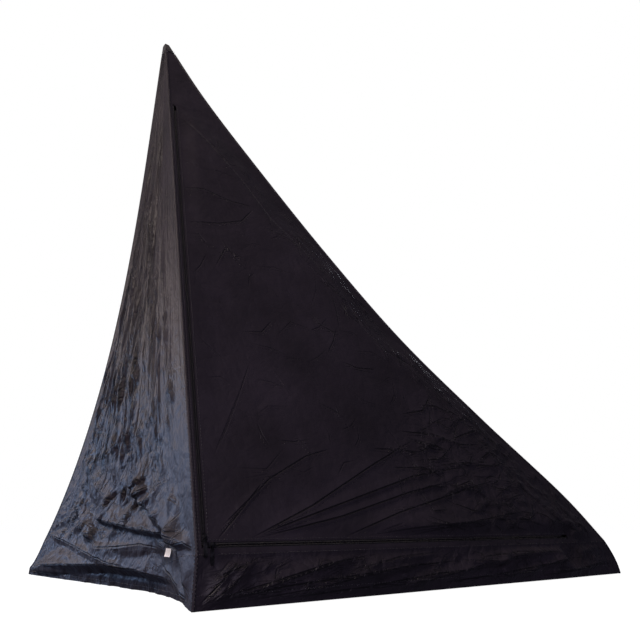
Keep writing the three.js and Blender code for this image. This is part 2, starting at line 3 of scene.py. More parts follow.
import bpy
import numpy as np
from mathutils import Matrix, Vector


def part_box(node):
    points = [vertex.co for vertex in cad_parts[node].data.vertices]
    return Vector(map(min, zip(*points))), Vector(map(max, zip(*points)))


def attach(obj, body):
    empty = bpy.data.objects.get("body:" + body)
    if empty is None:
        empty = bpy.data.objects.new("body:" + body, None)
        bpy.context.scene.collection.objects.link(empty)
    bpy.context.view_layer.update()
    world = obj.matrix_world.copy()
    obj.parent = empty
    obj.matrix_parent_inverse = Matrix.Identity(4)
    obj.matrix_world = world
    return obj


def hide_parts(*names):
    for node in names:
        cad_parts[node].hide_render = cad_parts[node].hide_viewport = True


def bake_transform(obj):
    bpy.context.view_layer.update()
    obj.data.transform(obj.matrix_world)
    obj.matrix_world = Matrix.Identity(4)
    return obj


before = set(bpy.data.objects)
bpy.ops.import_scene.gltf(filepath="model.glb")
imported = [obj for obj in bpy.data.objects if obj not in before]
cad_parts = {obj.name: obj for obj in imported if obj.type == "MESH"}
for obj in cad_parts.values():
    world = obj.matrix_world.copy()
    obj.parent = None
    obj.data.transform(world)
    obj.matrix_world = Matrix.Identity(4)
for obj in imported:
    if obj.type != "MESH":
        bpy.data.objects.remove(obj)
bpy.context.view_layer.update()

# ---------- Camera and studio ----------
# A low viewpoint just off the near front corner, looking up past the door to the peak.
# The tent stands on a plain white sweep. One warm lamp high at the left lights it, and four dimmer ones fill in.
VIEWPOINT = (-1.197, -1.515, 0.141)
camera_data = bpy.data.cameras.new("camera")
camera_data.sensor_width = 36
camera_data.lens = 35.6
camera = bpy.data.objects.new("camera", camera_data)
camera.location = VIEWPOINT
camera.rotation_euler = (math.radians(90 + 17.7), 0, math.radians(-37.7))
bpy.context.scene.collection.objects.link(camera)
bpy.context.scene.camera = camera
bpy.context.scene.view_settings.view_transform = "Standard"


def linear(hex_colour):
    """An sRGB hex colour as linear RGBA."""
    channels = [int(hex_colour[i:i + 2], 16) / 255 for i in (1, 3, 5)]
    return tuple(c / 12.92 if c <= 0.04045 else ((c + 0.055) / 1.055) ** 2.4 for c in channels) + (1.0,)


def fill(node, values):
    """Sets a node's inputs, each to a value or another node's output; a node stands for its first output."""
    for name, value in values.items():
        if isinstance(value, bpy.types.Node):
            value = value.outputs[0]
        if isinstance(value, bpy.types.NodeSocket):
            node.id_data.links.new(value, node.inputs[name])
        else:
            node.inputs[name].default_value = value


def add(tree, kind, values=None, **settings):
    """Adds a node: settings are its properties, and values its inputs. A shader node's kind has no prefix."""
    made = tree.nodes.new(kind if "Node" in kind else "ShaderNode" + kind)
    for name, value in settings.items():
        setattr(made, name, value)
    fill(made, values or {})
    return made


def new_material(name):
    """An empty material: its node tree and its Principled shader, already linked to the output."""
    material = bpy.data.materials.new(name)
    material.use_nodes = True
    tree = material.node_tree
    tree.nodes.clear()
    shader = add(tree, "BsdfPrincipled")
    add(tree, "OutputMaterial", {"Surface": shader})
    return material, tree, shader


def new_mesh(name, points, faces, material, smooth=True):
    """A mesh object at the origin, from points in the tent's frame."""
    mesh = bpy.data.meshes.new(name)
    mesh.from_pydata([tuple(p) for p in points], [], [tuple(f) for f in faces])
    mesh.materials.append(material)
    mesh.polygons.foreach_set("use_smooth", [smooth] * len(mesh.polygons))
    mesh.update()
    piece = bpy.data.objects.new(name, mesh)
    bpy.context.scene.collection.objects.link(piece)
    return piece


def lamp(name, place, target, size, watts, colour):
    """A square area lamp that faces a point."""
    data = bpy.data.lights.new(name, "AREA")
    data.size = size
    data.energy = watts
    data.color = linear(colour)[:3]
    light = bpy.data.objects.new(name, data)
    light.location = place
    light.rotation_euler = (Vector(target) - Vector(place)).to_track_quat("-Z", "Y").to_euler()
    bpy.context.scene.collection.objects.link(light)


lamp("key_lamp", (-1.75, 2.2, 1.15), (-0.6, 0.0, 0.5), 0.9, 13, "#ffe6d2")
lamp("top_lamp", (-2.9, -0.6, 2.7), (-0.45, -0.05, 0.6), 0.9, 84, "#ffeee0")
lamp("low_fill", (-1.55, 1.25, 0.4), (-0.68, 0.5, 0.05), 0.4, 11, "#a3c6fc")
lamp("front_fill", (-1.7, -2.3, 0.8), (-0.2, -0.45, 0.25), 0.9, 22, "#efe0ff")
lamp("back_fill", (3.0, 1.8, 2.4), (0.0, 0.0, 0.5), 1.6, 60, "#eef2ff")

# The sweep behind is plain white; what it and the room give the cloth is a dim, slightly blue light.
world = bpy.data.worlds.new("studio")
world.use_nodes = True
tree = world.node_tree
tree.nodes.clear()
room = add(tree, "Background", {"Color": linear("#dcdcff"), "Strength": 0.075})
sweep = add(tree, "Background", {"Color": linear("#ffffff"), "Strength": 1.0})
seen = add(tree, "MixShader", {0: add(tree, "LightPath").outputs["Is Camera Ray"], 1: room, 2: sweep})
add(tree, "OutputWorld", {"Surface": seen})
bpy.context.scene.world = world

# White studio floor: matt paper sweep, so it only shows the soft shadow under the hem.
paper, tree, shader = new_material("matt_white_paper_sweep")
grain = add(tree, "TexNoise", {"Vector": add(tree, "TexCoord").outputs["Object"], "Scale": 900})
relief = add(tree, "Bump", {"Height": grain, "Strength": 0.05, "Distance": 0.0002})
fill(shader, {"Normal": relief, "Base Color": linear("#6a6a6a"), "Roughness": 0.9,
    "Emission Color": linear("#ffffff"), "Emission Strength": 0.985})
FLOOR_REACH, FLOOR_LEVEL = 40, -0.0005
floor_corners = [(x * FLOOR_REACH, y * FLOOR_REACH, FLOOR_LEVEL) for x, y in ((-1, -1), (1, -1), (1, 1), (-1, 1))]
floor = new_mesh("studio_floor", floor_corners, [(0, 1, 2, 3)], paper, smooth=False)
# The room's light already counts what the floor gives back.
floor.visible_diffuse = floor.visible_glossy = False

# ---------- Entrance wall ----------
# The slack end of the tent: one triangle of thin black nylon, polyurethane coated inside, cut with a sewn-on skirt.
# Nothing pulls it tight, so it fans into long folds from the peak and crumples over the skirt at the floor.
LENGTH, WIDTH, HEIGHT = 1.35, 1.0, 1.5
BAND, BAND_LEAN = 0.09, 0.004  # height of the skirt, and how far it leans in
SETBACK, PEAK_HALF = 0.06, 0.008  # how far the peak stands behind the entrance hem, and its half width
CAP_HEIGHT, CLOTH, SEW_GAP = 0.028, 0.0012, 0.0004
HEM_BOW, SLACK_SAG = 0.082, 0.085  # how far the slack hem and the slack front edge hang in
HELD = 0.02  # height up to which the hem rods hold the far skirt straight
HEM_LIFT = 0.0012


def smooth(t):
    """0 up to t = 0, 1 from t = 1, and an even slope between."""
    t = np.clip(t, 0, 1)
    return t * t * (3 - 2 * t)


def share(z):
    """Height share above the skirt seam: 0 at the seam, 1 at the peak."""
    return (z - BAND) / (HEIGHT - BAND)


def side_half(z):
    """Half width of the tent at height z."""
    lean = WIDTH / 2 - BAND_LEAN
    return np.where(z < BAND, WIDTH / 2 - BAND_LEAN * z / BAND, lean + (PEAK_HALF - lean) * share(z))


def front_x(z):
    return -LENGTH / 2 + SETBACK * z / HEIGHT


def slack_sag(z):
    """How far the far front edge hangs in at height z."""
    above = np.maximum(0, z - HELD) / (HEIGHT - HELD)
    return SLACK_SAG * np.sin(np.pi * np.minimum(above, 1) ** 0.7)


def near_front(z):
    return np.stack([front_x(z), -side_half(z), z], -1)


def far_front(z):
    sag = slack_sag(z)
    return np.stack([front_x(z) + 0.65 * sag, side_half(z) - 0.76 * sag, z], -1)


def entrance_point(s, z):
    """The entrance wall at share s of the way from the near edge to the far one, with the bow of its slack hem."""
    along = np.clip(s, 0, 1)
    bow = HEM_BOW * (0.55 * along ** 1.4 * (1 - along) ** 3.6 / 0.0516 + 0.45 * np.sin(np.pi * along))
    left = np.where(z < BAND, 1 - 0.4 * z / BAND, 0.6 * np.maximum(0, 1 - (z - BAND) / 0.42) ** 2)
    a, b = near_front(z), far_front(z)
    p = a + (b - a) * s[..., None]
    p[..., 0] += bow * left
    return p


def noise(x, y, seed):
    """A smooth random field with one cell per unit, from about -1 to 1."""
    slopes = np.random.default_rng(seed).normal(0, 1, (64, 64, 2))
    i, j = np.floor(x).astype(int), np.floor(y).astype(int)
    u, v = x - i, y - j
    ease = lambda t: t * t * t * (t * (t * 6 - 15) + 10)

    def corner(a, b):
        g = slopes[(i + a) % 64, (j + b) % 64]
        return g[..., 0] * (u - a) + g[..., 1] * (v - b)

    low = corner(0, 0) + (corner(1, 0) - corner(0, 0)) * ease(u)
    high = corner(0, 1) + (corner(1, 1) - corner(0, 1)) * ease(u)
    return low + (high - low) * ease(v)


def crumple(x, y, size, seed):
    """Cloth that has been packed small: soft facets about size across, with sharp creases between them."""
    drift_x, drift_y = noise(x / size * 0.6, y / size * 0.6, seed + 11), noise(x / size * 0.6, y / size * 0.6,
        seed + 12)
    total = np.zeros_like(x)
    for k, weight in enumerate((1.0, 0.5, 0.26)):
        f = 2.03 ** k / size
        total += weight * (0.4 - np.abs(noise(x * f + 0.7 * drift_x, y * f + 0.7 * drift_y, seed + k)))
    return total


LINE_REACH = 0.008  # how far from a crease line its distance is kept


def blank_relief(x):
    """A relief to draw folds on. Its layers: how far the cloth stands out, the signed distance to the nearest
    crease line, and how sharply that line is pressed in."""
    relief = np.zeros(x.shape + (3,))
    relief[..., 1] = LINE_REACH
    return relief


def fold(relief, x, y, path, upper, lower, height, ends=(0.2, 0.2), pressed=1.0):
    """Adds a fold: a sharp crest along the path, falling over `upper` to its left and `lower` to its right."""
    path = np.array(path, float)
    reach = max(upper, lower, LINE_REACH)
    near = ((x > path[:, 0].min() - reach) & (x < path[:, 0].max() + reach) & (y > path[:,
        1].min() - reach) & (y < path[:, 1].max() + reach))
    if not near.any():
        return
    px, py = x[near], y[near]
    steps = np.diff(path, axis=0)
    lengths = np.hypot(*steps.T)
    gone = np.concatenate([[0], np.cumsum(lengths)]) / lengths.sum()
    nearest, along, side = np.full(px.shape, 1e9), np.zeros(px.shape), np.zeros(px.shape)
    for k, (a, d) in enumerate(zip(path, steps)):
        t = np.clip(((px - a[0]) * d[0] + (py - a[1]) * d[1]) / lengths[k] ** 2, 0, 1)
        qx, qy = px - a[0] - t * d[0], py - a[1] - t * d[1]
        away = np.hypot(qx, qy)
        closer = away < nearest
        nearest = np.where(closer, away, nearest)
        along = np.where(closer, gone[k] + t * (gone[k + 1] - gone[k]), along)
        side = np.where(closer, d[0] * qy - d[1] * qx, side)
    fade = smooth(along / max(ends[0], 1e-6)) * smooth((1 - along) / max(ends[1], 1e-6))
    width = np.where(side > 0, upper, lower) * (0.35 + 0.65 * fade)
    relief[near, 0] += height * fade * np.clip(1 - nearest / width, 0, 1) ** 1.08
    if pressed:
        line = np.where(side > 0, nearest, -nearest)
        closest = (nearest < LINE_REACH) & (nearest < np.abs(relief[near, 1]))
        mark = pressed * np.sqrt(fade) * np.clip((LINE_REACH - nearest) / 0.003, 0, 1)
        relief[near, 1] = np.where(closest, line, relief[near, 1])
        relief[near, 2] = np.where(closest, mark, relief[near, 2])


def metres(folds):
    """A table of folds, each a path, its widths to the left and right and its height, from thousandths."""
    return [(np.array(path) / 1000, upper / 1000, lower / 1000, height / 1000) for path, upper, lower,
        height in folds]


def short_creases(relief, x, y, places, angle, turn, length, height, seed, sharp=0.006, pressed=0.7):
    """Adds short random creases at the given places, each lying near an angle and bent a little in its middle."""
    random = np.random.default_rng(seed)
    for px, py in places:
        a = angle(px, py) if callable(angle) else angle
        a += random.normal(0, turn)
        long = random.uniform(*length)
        bend = random.normal(0, 0.12) * long
        dx, dy = math.cos(a), math.sin(a)
        path = [(px - dx * long / 2, py - dy * long / 2), (px - dy * bend, py + dx * bend),
            (px + dx * long / 2, py + dy * long / 2)]
        wide = sharp * random.uniform(0.8, 1.6)
        fold(relief, x, y, path, wide * random.uniform(1.5, 4.0), wide, random.uniform(*height), ends=(0.45, 0.45),
            pressed=pressed * random.uniform(0.3, 1.0))


def held(relief, grip):
    """The relief, flattened where its seams hold the cloth: grip is 0 at a seam and 1 in the free cloth."""
    return np.stack([relief[..., 0] * grip, relief[..., 1], relief[..., 2] * np.sqrt(grip)], -1)


def belongs(piece, node, finish, body="tent"):
    """Hides the CAD node that a piece stands for, and hangs the piece on the body that it rides on, if only one.

    finish is not used.
    """
    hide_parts(node)
    if body:
        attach(piece, body)


def surface_normals(points, outward):
    """Unit normals of a grid of points, on the side that faces outward."""
    n = np.cross(np.gradient(points, axis=1), np.gradient(points, axis=0))
    n /= np.maximum(np.linalg.norm(n, axis=-1, keepdims=True), 1e-12)
    middle = n[n.shape[0] // 2, n.shape[1] // 2]
    return n if middle @ np.array(outward) > 0 else -n


def cloth_panel(name, points, relief, outward, flat, material, slack, fan=None, thickness=CLOTH):
    """A closed sheet of cloth: a grid of points moved out by the relief, its inner face one cloth thickness behind.

    flat gives each point's place on the uncut cloth in metres, and becomes the UV map that the weave follows.
    slack, from 0 to 1, says how loose the cloth is at each point, and so how finely it is crinkled there.
    fan is a second map, stretched the way that long drawn folds run."""
    if relief.ndim == 2:  # only heights, with no lines drawn on them
        relief = np.stack([relief, relief * 0 + LINE_REACH, relief * 0], -1)
    outer = points + surface_normals(points, outward) * relief[..., :1]
    inner = outer - surface_normals(outer, outward) * thickness
    rows, columns = relief.shape[:2]
    at = np.arange(rows * columns).reshape(rows, columns)
    quads = np.stack([at[:-1, :-1], at[:-1, 1:], at[1:, 1:], at[1:, :-1]], -1).reshape(-1, 4)
    rim = np.concatenate([at[0, :], at[1:, -1], at[-1, -2::-1], at[-2:0:-1, 0]])
    ring = np.roll(rim, -1)
    facing = np.cross(np.diff(outer, axis=1)[:-1], np.diff(outer, axis=0)[:, :-1])
    turned = (facing * surface_normals(outer, outward)[:-1, :-1]).sum() < 0
    back = quads[:, ::-1] + rows * columns
    wall = np.stack([rim, rim + rows * columns, ring + rows * columns, ring], -1)
    faces = np.concatenate([quads, back, wall])
    if turned:
        faces = faces[:, ::-1]
    piece = new_mesh(name, np.concatenate([outer.reshape(-1, 3), inner.reshape(-1, 3)]), faces, material)
    mesh = piece.data
    where = np.concatenate([flat.reshape(-1, 2)] * 2)[faces.ravel()]
    mesh.uv_layers.new(name="cloth").data.foreach_set("uv", where.astype(np.float32).ravel())
    fields = {"slack": slack + 0 * relief[..., 0], "line_side": relief[..., 1], "line_mark": relief[..., 2]}
    for label, field in fields.items():
        values = np.tile(field.ravel(), 2).astype(np.float32)
        mesh.attributes.new(label, "FLOAT", "POINT").data.foreach_set("value", values)
    if fan is not None:
        where = np.concatenate([fan.reshape(-1, 2)] * 2)[faces.ravel()]
        mesh.uv_layers.new(name="fan").data.foreach_set("uv", where.astype(np.float32).ravel())
    sharp = np.zeros(len(mesh.edges), bool)
    pairs = np.zeros(len(mesh.edges) * 2, int)
    mesh.edges.foreach_get("vertices", pairs)
    on_rim = np.isin(pairs.reshape(-1, 2) % (rows * columns), rim).all(1)
    outside = pairs.reshape(-1, 2) < rows * columns
    same_side = outside[:, 0] == outside[:, 1]
    sharp[on_rim & same_side] = True
    mesh.attributes.new("sharp_edge", "BOOLEAN", "EDGE").data.foreach_set("value", sharp)
    return piece


BANDS = 0.314  # scale at which a wave texture has one band per metre


def coated_nylon(name, face, sheen, shine):
    """Thin plain-woven nylon in black dye, coated: nearly black, with a dull plastic gloss that every crease catches.

    The eye sees the crumple first, then a faint weave; the coating is a little duller where it has been rubbed.
    The base colour is also painted darker along grooves and crinkle lines, as painted shade."""
    material, tree, shader = new_material(name)
    where = add(tree, "UVMap", uv_map="cloth")
    # Threads are 0.15 mm apart. They are drawn 1.5 mm apart, the finest that still shows at arm's length.
    threads = [add(tree, "TexWave", {"Vector": where, "Scale": BANDS / 0.0015, "Distortion": 0.4,
        "Detail Scale": 3.0}, bands_direction=way).outputs["Fac"] for way in "XY"]
    weave = add(tree, "Math", {0: threads[0], 1: threads[1]}, operation="MAXIMUM")
    drift = add(tree, "TexNoise", {"Vector": where, "Scale": 9.0, "Detail": 2.0})
    pulled = add(tree, "VectorMath", {0: drift.outputs["Color"], 1: (0.05, 0.05, 0.05)}, operation="MULTIPLY")
    warped = add(tree, "VectorMath", {0: where, 1: pulled}, operation="ADD")
    # Sharp creases between flat facets: 30 mm ones where the cloth is loose, and 12 mm ones all over.
    creased = []
    for across, depth in ((30.0, 1.0), (75.0, 0.4)):
        field = add(tree, "TexNoise", {"Vector": warped, "Scale": across, "Detail": 1.0, "Roughness": 0.4})
        centred = add(tree, "Math", {0: field, 1: 0.5}, operation="SUBTRACT")
        ridge = add(tree, "Math", {0: centred}, operation="ABSOLUTE")
        creased.append(add(tree, "Math", {0: ridge, 1: depth}, operation="MULTIPLY"))
    loose = add(tree, "Attribute", attribute_name="slack").outputs["Fac"]
    crinkle = add(tree, "Math", {0: creased[0], 1: creased[1]}, operation="ADD")
    crinkle = add(tree, "Math", {0: crinkle, 1: loose}, operation="MULTIPLY")
    # Long fine folds that run with the fan map.
    spread = add(tree, "UVMap", uv_map="fan")
    drawn = add(tree, "TexNoise", {"Vector": spread, "Scale": 25.0, "Detail": 0.4})
    drawn = add(tree, "Math", {0: drawn, 1: 0.5}, operation="SUBTRACT")
    drawn = add(tree, "Math", {0: drawn}, operation="ABSOLUTE")
    # Painted shade: a dark line along the middle of each drawn fold, used in the base colour only.
    drawn_fold_shade = add(tree, "MapRange", {"Value": drawn, "From Max": 0.024, "To Min": 1.0, "To Max": 0.0},
        interpolation_type="SMOOTHSTEP")
    # They fade out where the cloth crumples over the floor.
    drop = add(tree, "SeparateXYZ", {0: spread}).outputs["Y"]
    fanned = add(tree, "MapRange", {"Value": drop, "From Min": 0.008, "From Max": 0.03})
    drawn_fold_shade = add(tree, "Math", {0: drawn_fold_shade, 1: fanned}, operation="MULTIPLY")
    fanned = add(tree, "Math", {0: loose, 1: fanned}, operation="MULTIPLY")
    drawn = add(tree, "Math", {0: drawn, 1: fanned, 2: crinkle}, operation="MULTIPLY_ADD")
    # Folds pressed in while the tent was packed: a narrow groove along each line, bumped in below and also painted
    # darker in the base colour as painted shade.
    side = add(tree, "Attribute", attribute_name="line_side").outputs["Fac"]
    mark = add(tree, "Attribute", attribute_name="line_mark").outputs["Fac"]
    away = add(tree, "Math", {0: side}, operation="ABSOLUTE")
    groove = add(tree, "MapRange", {"Value": away, "From Max": 0.0026, "To Min": 1.0, "To Max": 0.0},
        interpolation_type="SMOOTHSTEP")
    groove = add(tree, "Math", {0: groove, 1: mark}, operation="MULTIPLY")
    rubbed = add(tree, "TexNoise", {"Vector": where, "Scale": 5.0, "Detail": 5.0, "Roughness": 0.6})
    tone = add(tree, "ValToRGB", {"Fac": rubbed})
    tone.color_ramp.elements[0].position, tone.color_ramp.elements[1].position = 0.36, 0.68
    tone.color_ramp.elements[0].color, tone.color_ramp.elements[1].color = linear(face[0]), linear(face[1])
    gloss = add(tree, "MapRange", {"Value": rubbed, "To Min": shine[0], "To Max": shine[1]})
    first = add(tree, "Bump", {"Height": weave, "Strength": 0.12, "Distance": 0.0003})
    second = add(tree, "Bump", {"Height": drawn, "Strength": 1.0, "Distance": 0.013, "Normal": first})
    third = add(tree, "Bump", {"Height": groove, "Strength": 1.0, "Distance": 0.0016, "Normal": second},
        invert=True)
    # Painted shade: a dark hairline along each crinkle, where the facets meet, and along each drawn fold, where the
    # cloth is loose.
    line = add(tree, "MapRange", {"Value": creased[0], "From Max": 0.022, "To Min": 1.0, "To Max": 0.0},
        interpolation_type="SMOOTHSTEP")
    line = add(tree, "Math", {0: line, 1: drawn_fold_shade}, operation="MAXIMUM")
    line = add(tree, "Math", {0: line, 1: loose}, operation="MULTIPLY")
    line = add(tree, "Math", {0: line, 1: 0.75}, operation="MULTIPLY")
    # Painted shade: the grooves and hairlines pull the base colour towards the third colour of face.
    crease_shade = add(tree, "Math", {0: groove, 1: 0.85, 2: line}, operation="MULTIPLY_ADD", use_clamp=True)
    coating_tone_and_crease_shade = add(tree, "Mix", {0: crease_shade, 6: tone, 7: linear(face[2])}, data_type="RGBA")
    fill(shader, {"Base Color": coating_tone_and_crease_shade.outputs[2], "Roughness": gloss, "Normal": third, "IOR": 1.5,
        "Specular IOR Level": 0.28, "Sheen Weight": sheen, "Sheen Roughness": 0.45,
        "Sheen Tint": linear("#cfc8d2")})
    return material


# The third colour is the near-black painted shade for grooves and crinkle lines.
wall_nylon = coated_nylon("black_coated_nylon_taffeta", ("#1d191e", "#29242b", "#070608"), 0.03, (0.47, 0.62))

PANEL_TOP = HEIGHT - CAP_HEIGHT - SEW_GAP
END_INSET = 0.0012
LABEL_SHARE, LABEL_HEIGHT = 0.185, 0.079


def entrance_seam(s):
    """Height of the skirt seam across the slack wall: it sinks into the folds at the middle."""
    return BAND - 0.042 * smooth(s / 0.42) + 0.026 * smooth((s - 0.42) / 0.5)


def entrance_relief(s, z):
    """How far the entrance wall's folds stand out, over the wall and its skirt alike."""
    h = blank_relief(s)
    free = smooth((z - 0.16) / 0.34)
    # Long folds that fan down from the peak, deepest in the far half.
    wander = 0.05 * noise(s * 3, z * 2.2, 5) + 0.012 * noise(s * 9, z * 7, 6)
    width = 0.02 + 0.92 * (1 - share(z))
    for count, depth, seed in ((9, 0.008, 21), (19, 0.005, 22), (37, 0.0022, 23)):
        ridges = 0.45 - np.abs(noise((s + wander) * count, z * 1.7 + 0.4 * noise(s * 4, z * 5, seed), seed + 40))
        far_half = 0.22 + 0.78 * smooth((s - 0.22) / 0.35) * (1 - 0.35 * smooth((s - 0.86) / 0.14))
        h[..., 0] += depth * ridges * far_half * free * np.minimum(1, width * 2.4)
    # The heavy folds of the lower third: a drawn line up from the near corner, and what hangs over below it.
    for path, upper, lower, height in metres((([(50, 105), (160, 130), (240, 160), (330, 195), (420, 235)], 90, 24,
            21), ([(20, 20), (50, 46), (80, 72), (110, 100), (160, 130)], 50, 30, 10),
            ([(150, 117), (260, 124), (420, 134), (600, 147), (680, 160)], 40, 13, 19),
            ([(250, 90), (340, 98), (460, 90), (580, 86), (700, 125), (760, 170)], 45, 24, 13),
            ([(160, 30), (340, 50), (540, 50), (780, 34), (1020, 12)], 50, 22, 24),
            ([(20, 97), (50, 108), (90, 103), (140, 112)], 20, 11, 9), ([(500, 176), (600, 200), (720, 245),
            (840, 330)], 30, 45, 10), ([(400, 50), (600, 68), (800, 90), (980, 110)], 30, 14, 9),
            ([(600, 92), (720, 140), (860, 205)], 45, 14, 11), ([(60, 14), (140, 34), (240, 58)], 24, 26, 9),
            ([(340, 250), (420, 360), (500, 520), (560, 750)], 50, 30, 10),
            ([(540, 200), (600, 340), (650, 550), (680, 850)], 40, 30, 10),
            ([(760, 160), (800, 300), (810, 550), (800, 900)], 30, 30, 5),
            ([(200, 240), (270, 420), (350, 660), (420, 1000)], 50, 50, 6),
            ([(100, 260), (130, 450), (220, 800), (300, 1100)], 30, 40, 4))):
        fold(h, s, z, path, upper, lower, height)
    # Short pleats nipped across the drawn line.
    for path, upper, lower, height in metres((([(280, 236), (430, 203)], 18, 10, 12),
            ([(260, 214), (390, 184)], 18, 10, 11), ([(240, 190), (330, 172)], 16.2, 9, 10),
            ([(580, 170), (530, 215)], 16.2, 9, -6), ([(480, 178), (470, 222)], 16.2, 9, -6),
            ([(400, 165), (370, 195)], 18, 10, -8), ([(660, 165), (580, 190)], 18, 10, 8),
            ([(720, 110), (730, 145)], 18, 10, -4), ([(820, 120), (820, 160)], 18, 10, -4),
            ([(600, 300), (520, 340)], 18, 10, 6), ([(440, 330), (400, 360)], 14.4, 8, 6),
            ([(300, 345), (240, 360)], 14.4, 8, 6))):
        fold(h, s, z, path, upper, lower, height, ends=(0.3, 0.3))
    # Long narrow folds that run up towards the peak, most of them in the far half.
    random = np.random.default_rng(71)
    for _ in range(150):
        at = 0.12 + 0.8 * random.beta(1.7, 1.3)
        low = 0.14 + 0.75 * random.beta(1.0, 1.7)
        high = low + random.uniform(0.12, 0.55)
        lean = random.normal(0.02, 0.03)
        path = [(at, low), (at + 0.5 * lean + random.normal(0, 0.006), (low + high) / 2), (at + lean, high)]
        fold(h, s, z, path, random.uniform(0.008, 0.022), random.uniform(0.007, 0.011),
            random.uniform(0.0015, 0.0045), ends=(0.4, 0.4), pressed=random.uniform(0.6, 1.3))
    random = np.random.default_rng(77)
    places = np.stack([random.uniform(0.08, 0.97, 230), 0.1 + 0.6 * random.beta(1.1, 2.2, 230)], -1)
    short_creases(h, s, z, places, lambda a, b: math.radians(95 - 60 * (a - 0.3)) if b > 0.2
        else math.radians(150 + 40 * a), 0.5, (0.03, 0.11), (0.002, 0.005), 78, sharp=0.007, pressed=1.2)
    rough = 0.0022 + 0.0032 * (1 - smooth((z - 0.1) / 0.35))
    h[..., 0] += rough * crumple(s, z, 0.085, 31) * (0.5 + 0.5 * smooth((s - 0.1) / 0.3)) * np.minimum(1, width * 2)
    h[..., 0] += 0.0009 * crumple(s, z, 0.028, 37) * np.minimum(1, width * 2)
    # The seams hold the cloth to the edges and at the peak.
    edge = np.minimum(s * width, (1 - s) * width * 0.035 / (0.035 + 0.065 * smooth((z - 0.15) / 0.2)))
    h[..., 0] *= 1 - 0.8 * (1 - smooth((np.hypot(s - LABEL_SHARE, z - LABEL_HEIGHT) - 0.01) / 0.05))
    return held(h, smooth((edge - 0.002) / 0.035) * smooth((PANEL_TOP - z) / 0.12))


def grid(rows, columns):
    """Two grids of numbers from 0 to 1: down the rows, and along the columns."""
    return np.meshgrid(np.linspace(0, 1, rows), np.linspace(0, 1, columns), indexing="ij")


def end_inset(s, z):
    """A share of the way across, kept one cloth's thickness clear of the side panels."""
    span = 2 * side_half(z)
    return (END_INSET + s * (span - 2 * END_INSET)) / span


def entrance_slack(s, z):
    """How loose the entrance wall is: tightest by the near edge, and a little pressed at the floor."""
    high_up = 0.55 + 0.45 * (1 - smooth((z - 0.3) / 0.5))
    return (0.4 + 0.6 * smooth((s - 0.12) / 0.3) * high_up) * (0.7 + 0.3 * smooth(z / 0.22))


def entrance_cloth(name, node, rows, columns, ends, rise):
    """A panel of the entrance wall; ends gives its lowest and highest points from the height of the skirt seam."""
    up, across = grid(rows, columns)
    low, high = ends(entrance_seam(across))
    z = low + (high - low) * up ** rise
    piece = cloth_panel(name, entrance_point(end_inset(across, z), z), entrance_relief(across, z), (-1, 0, 0),
        np.stack([(across - 0.5) * 2 * side_half(z), z], -1), wall_nylon, entrance_slack(across, z),
        np.stack([across * 2, z * 0.07], -1))
    belongs(piece, node, "wall_cloth")
    return piece


end_wall = entrance_cloth("end_wall_cloth", "end_wall", 236, 200, lambda seam: (seam, PANEL_TOP), 1.6)
end_skirt = entrance_cloth("end_skirt_cloth", "end_band", 34, 220, lambda seam: (HEM_LIFT, seam), 1)

# ---------- Near side ----------
# The taut side with the door. The cloth is cut in one leaning plane: a narrow strip in front of the upright zip,
# the door, which folds back on a line along the hip, and the panel that runs on to the hip seam.
LEAN = math.atan2(WIDTH / 2 - BAND_LEAN - PEAK_HALF, HEIGHT - BAND)
NEAR_OUT = (0, -1, 0.3)
OUT = np.array([0, -math.cos(LEAN), math.sin(LEAN)])  # square to the near side's plane
ZIP_INSET, SILL_RISE, ZIP_GROOVE = 0.016, 0.014, 0.005
DOOR_TOP, DOOR_FOOT_X = 1.233, 0.44
FOOT_FLARE = 0.058
HIP_KNOTS = [(-0.604, 1.5), (-0.509, 1.32), (-0.343, 1.075), (-0.172, 0.845), (0.016, 0.625), (0.254, 0.415),
    (0.517, 0.2), (0.617, 0.09)]


def hip_table(knots, steps=60):
    """Points of the smooth hanging curve of the hip seam through its knots, seen from the side."""
    k = np.array(knots, float)
    k = np.vstack([2 * k[0] - k[1], k, 2 * k[-1] - k[-2]])
    points = []
    for a, b, c, d in zip(k, k[1:], k[2:], k[3:]):
        t0 = 0.0
        t1 = t0 + np.linalg.norm(b - a) ** 0.5
        t2 = t1 + np.linalg.norm(c - b) ** 0.5
        t3 = t2 + np.linalg.norm(d - c) ** 0.5
        for t in np.linspace(t1, t2, steps, endpoint=False):
            ab = (t1 - t) / (t1 - t0) * a + (t - t0) / (t1 - t0) * b
            bc = (t2 - t) / (t2 - t1) * b + (t - t1) / (t2 - t1) * c
            cd = (t3 - t) / (t3 - t2) * c + (t - t2) / (t3 - t2) * d
            abc = (t2 - t) / (t2 - t0) * ab + (t - t0) / (t2 - t0) * bc
            bcd = (t3 - t) / (t3 - t1) * bc + (t - t1) / (t3 - t1) * cd
            points.append((t2 - t) / (t2 - t1) * abc + (t - t1) / (t2 - t1) * bcd)
    return np.array(points + [k[-2]])[::-1]


HIP = hip_table(HIP_KNOTS)


def hip_x(z):
    """Position of the hips along the tent at height z, and of the foot's flared skirt below the seam."""
    low = LENGTH / 2 - FOOT_FLARE * (np.clip(z, 0, BAND) / BAND) ** 1.6
    return np.where(z < BAND, low, np.interp(z, HIP[:, 1], HIP[:, 0]))


def near_point(x, z):
    return np.stack([x, -side_half(z), z], -1)


def up_slope(z):
    """Distance up the near side's cloth from the skirt seam."""
    return (z - BAND) / math.cos(LEAN)


def zip_x(z):
    return front_x(z) + ZIP_INSET


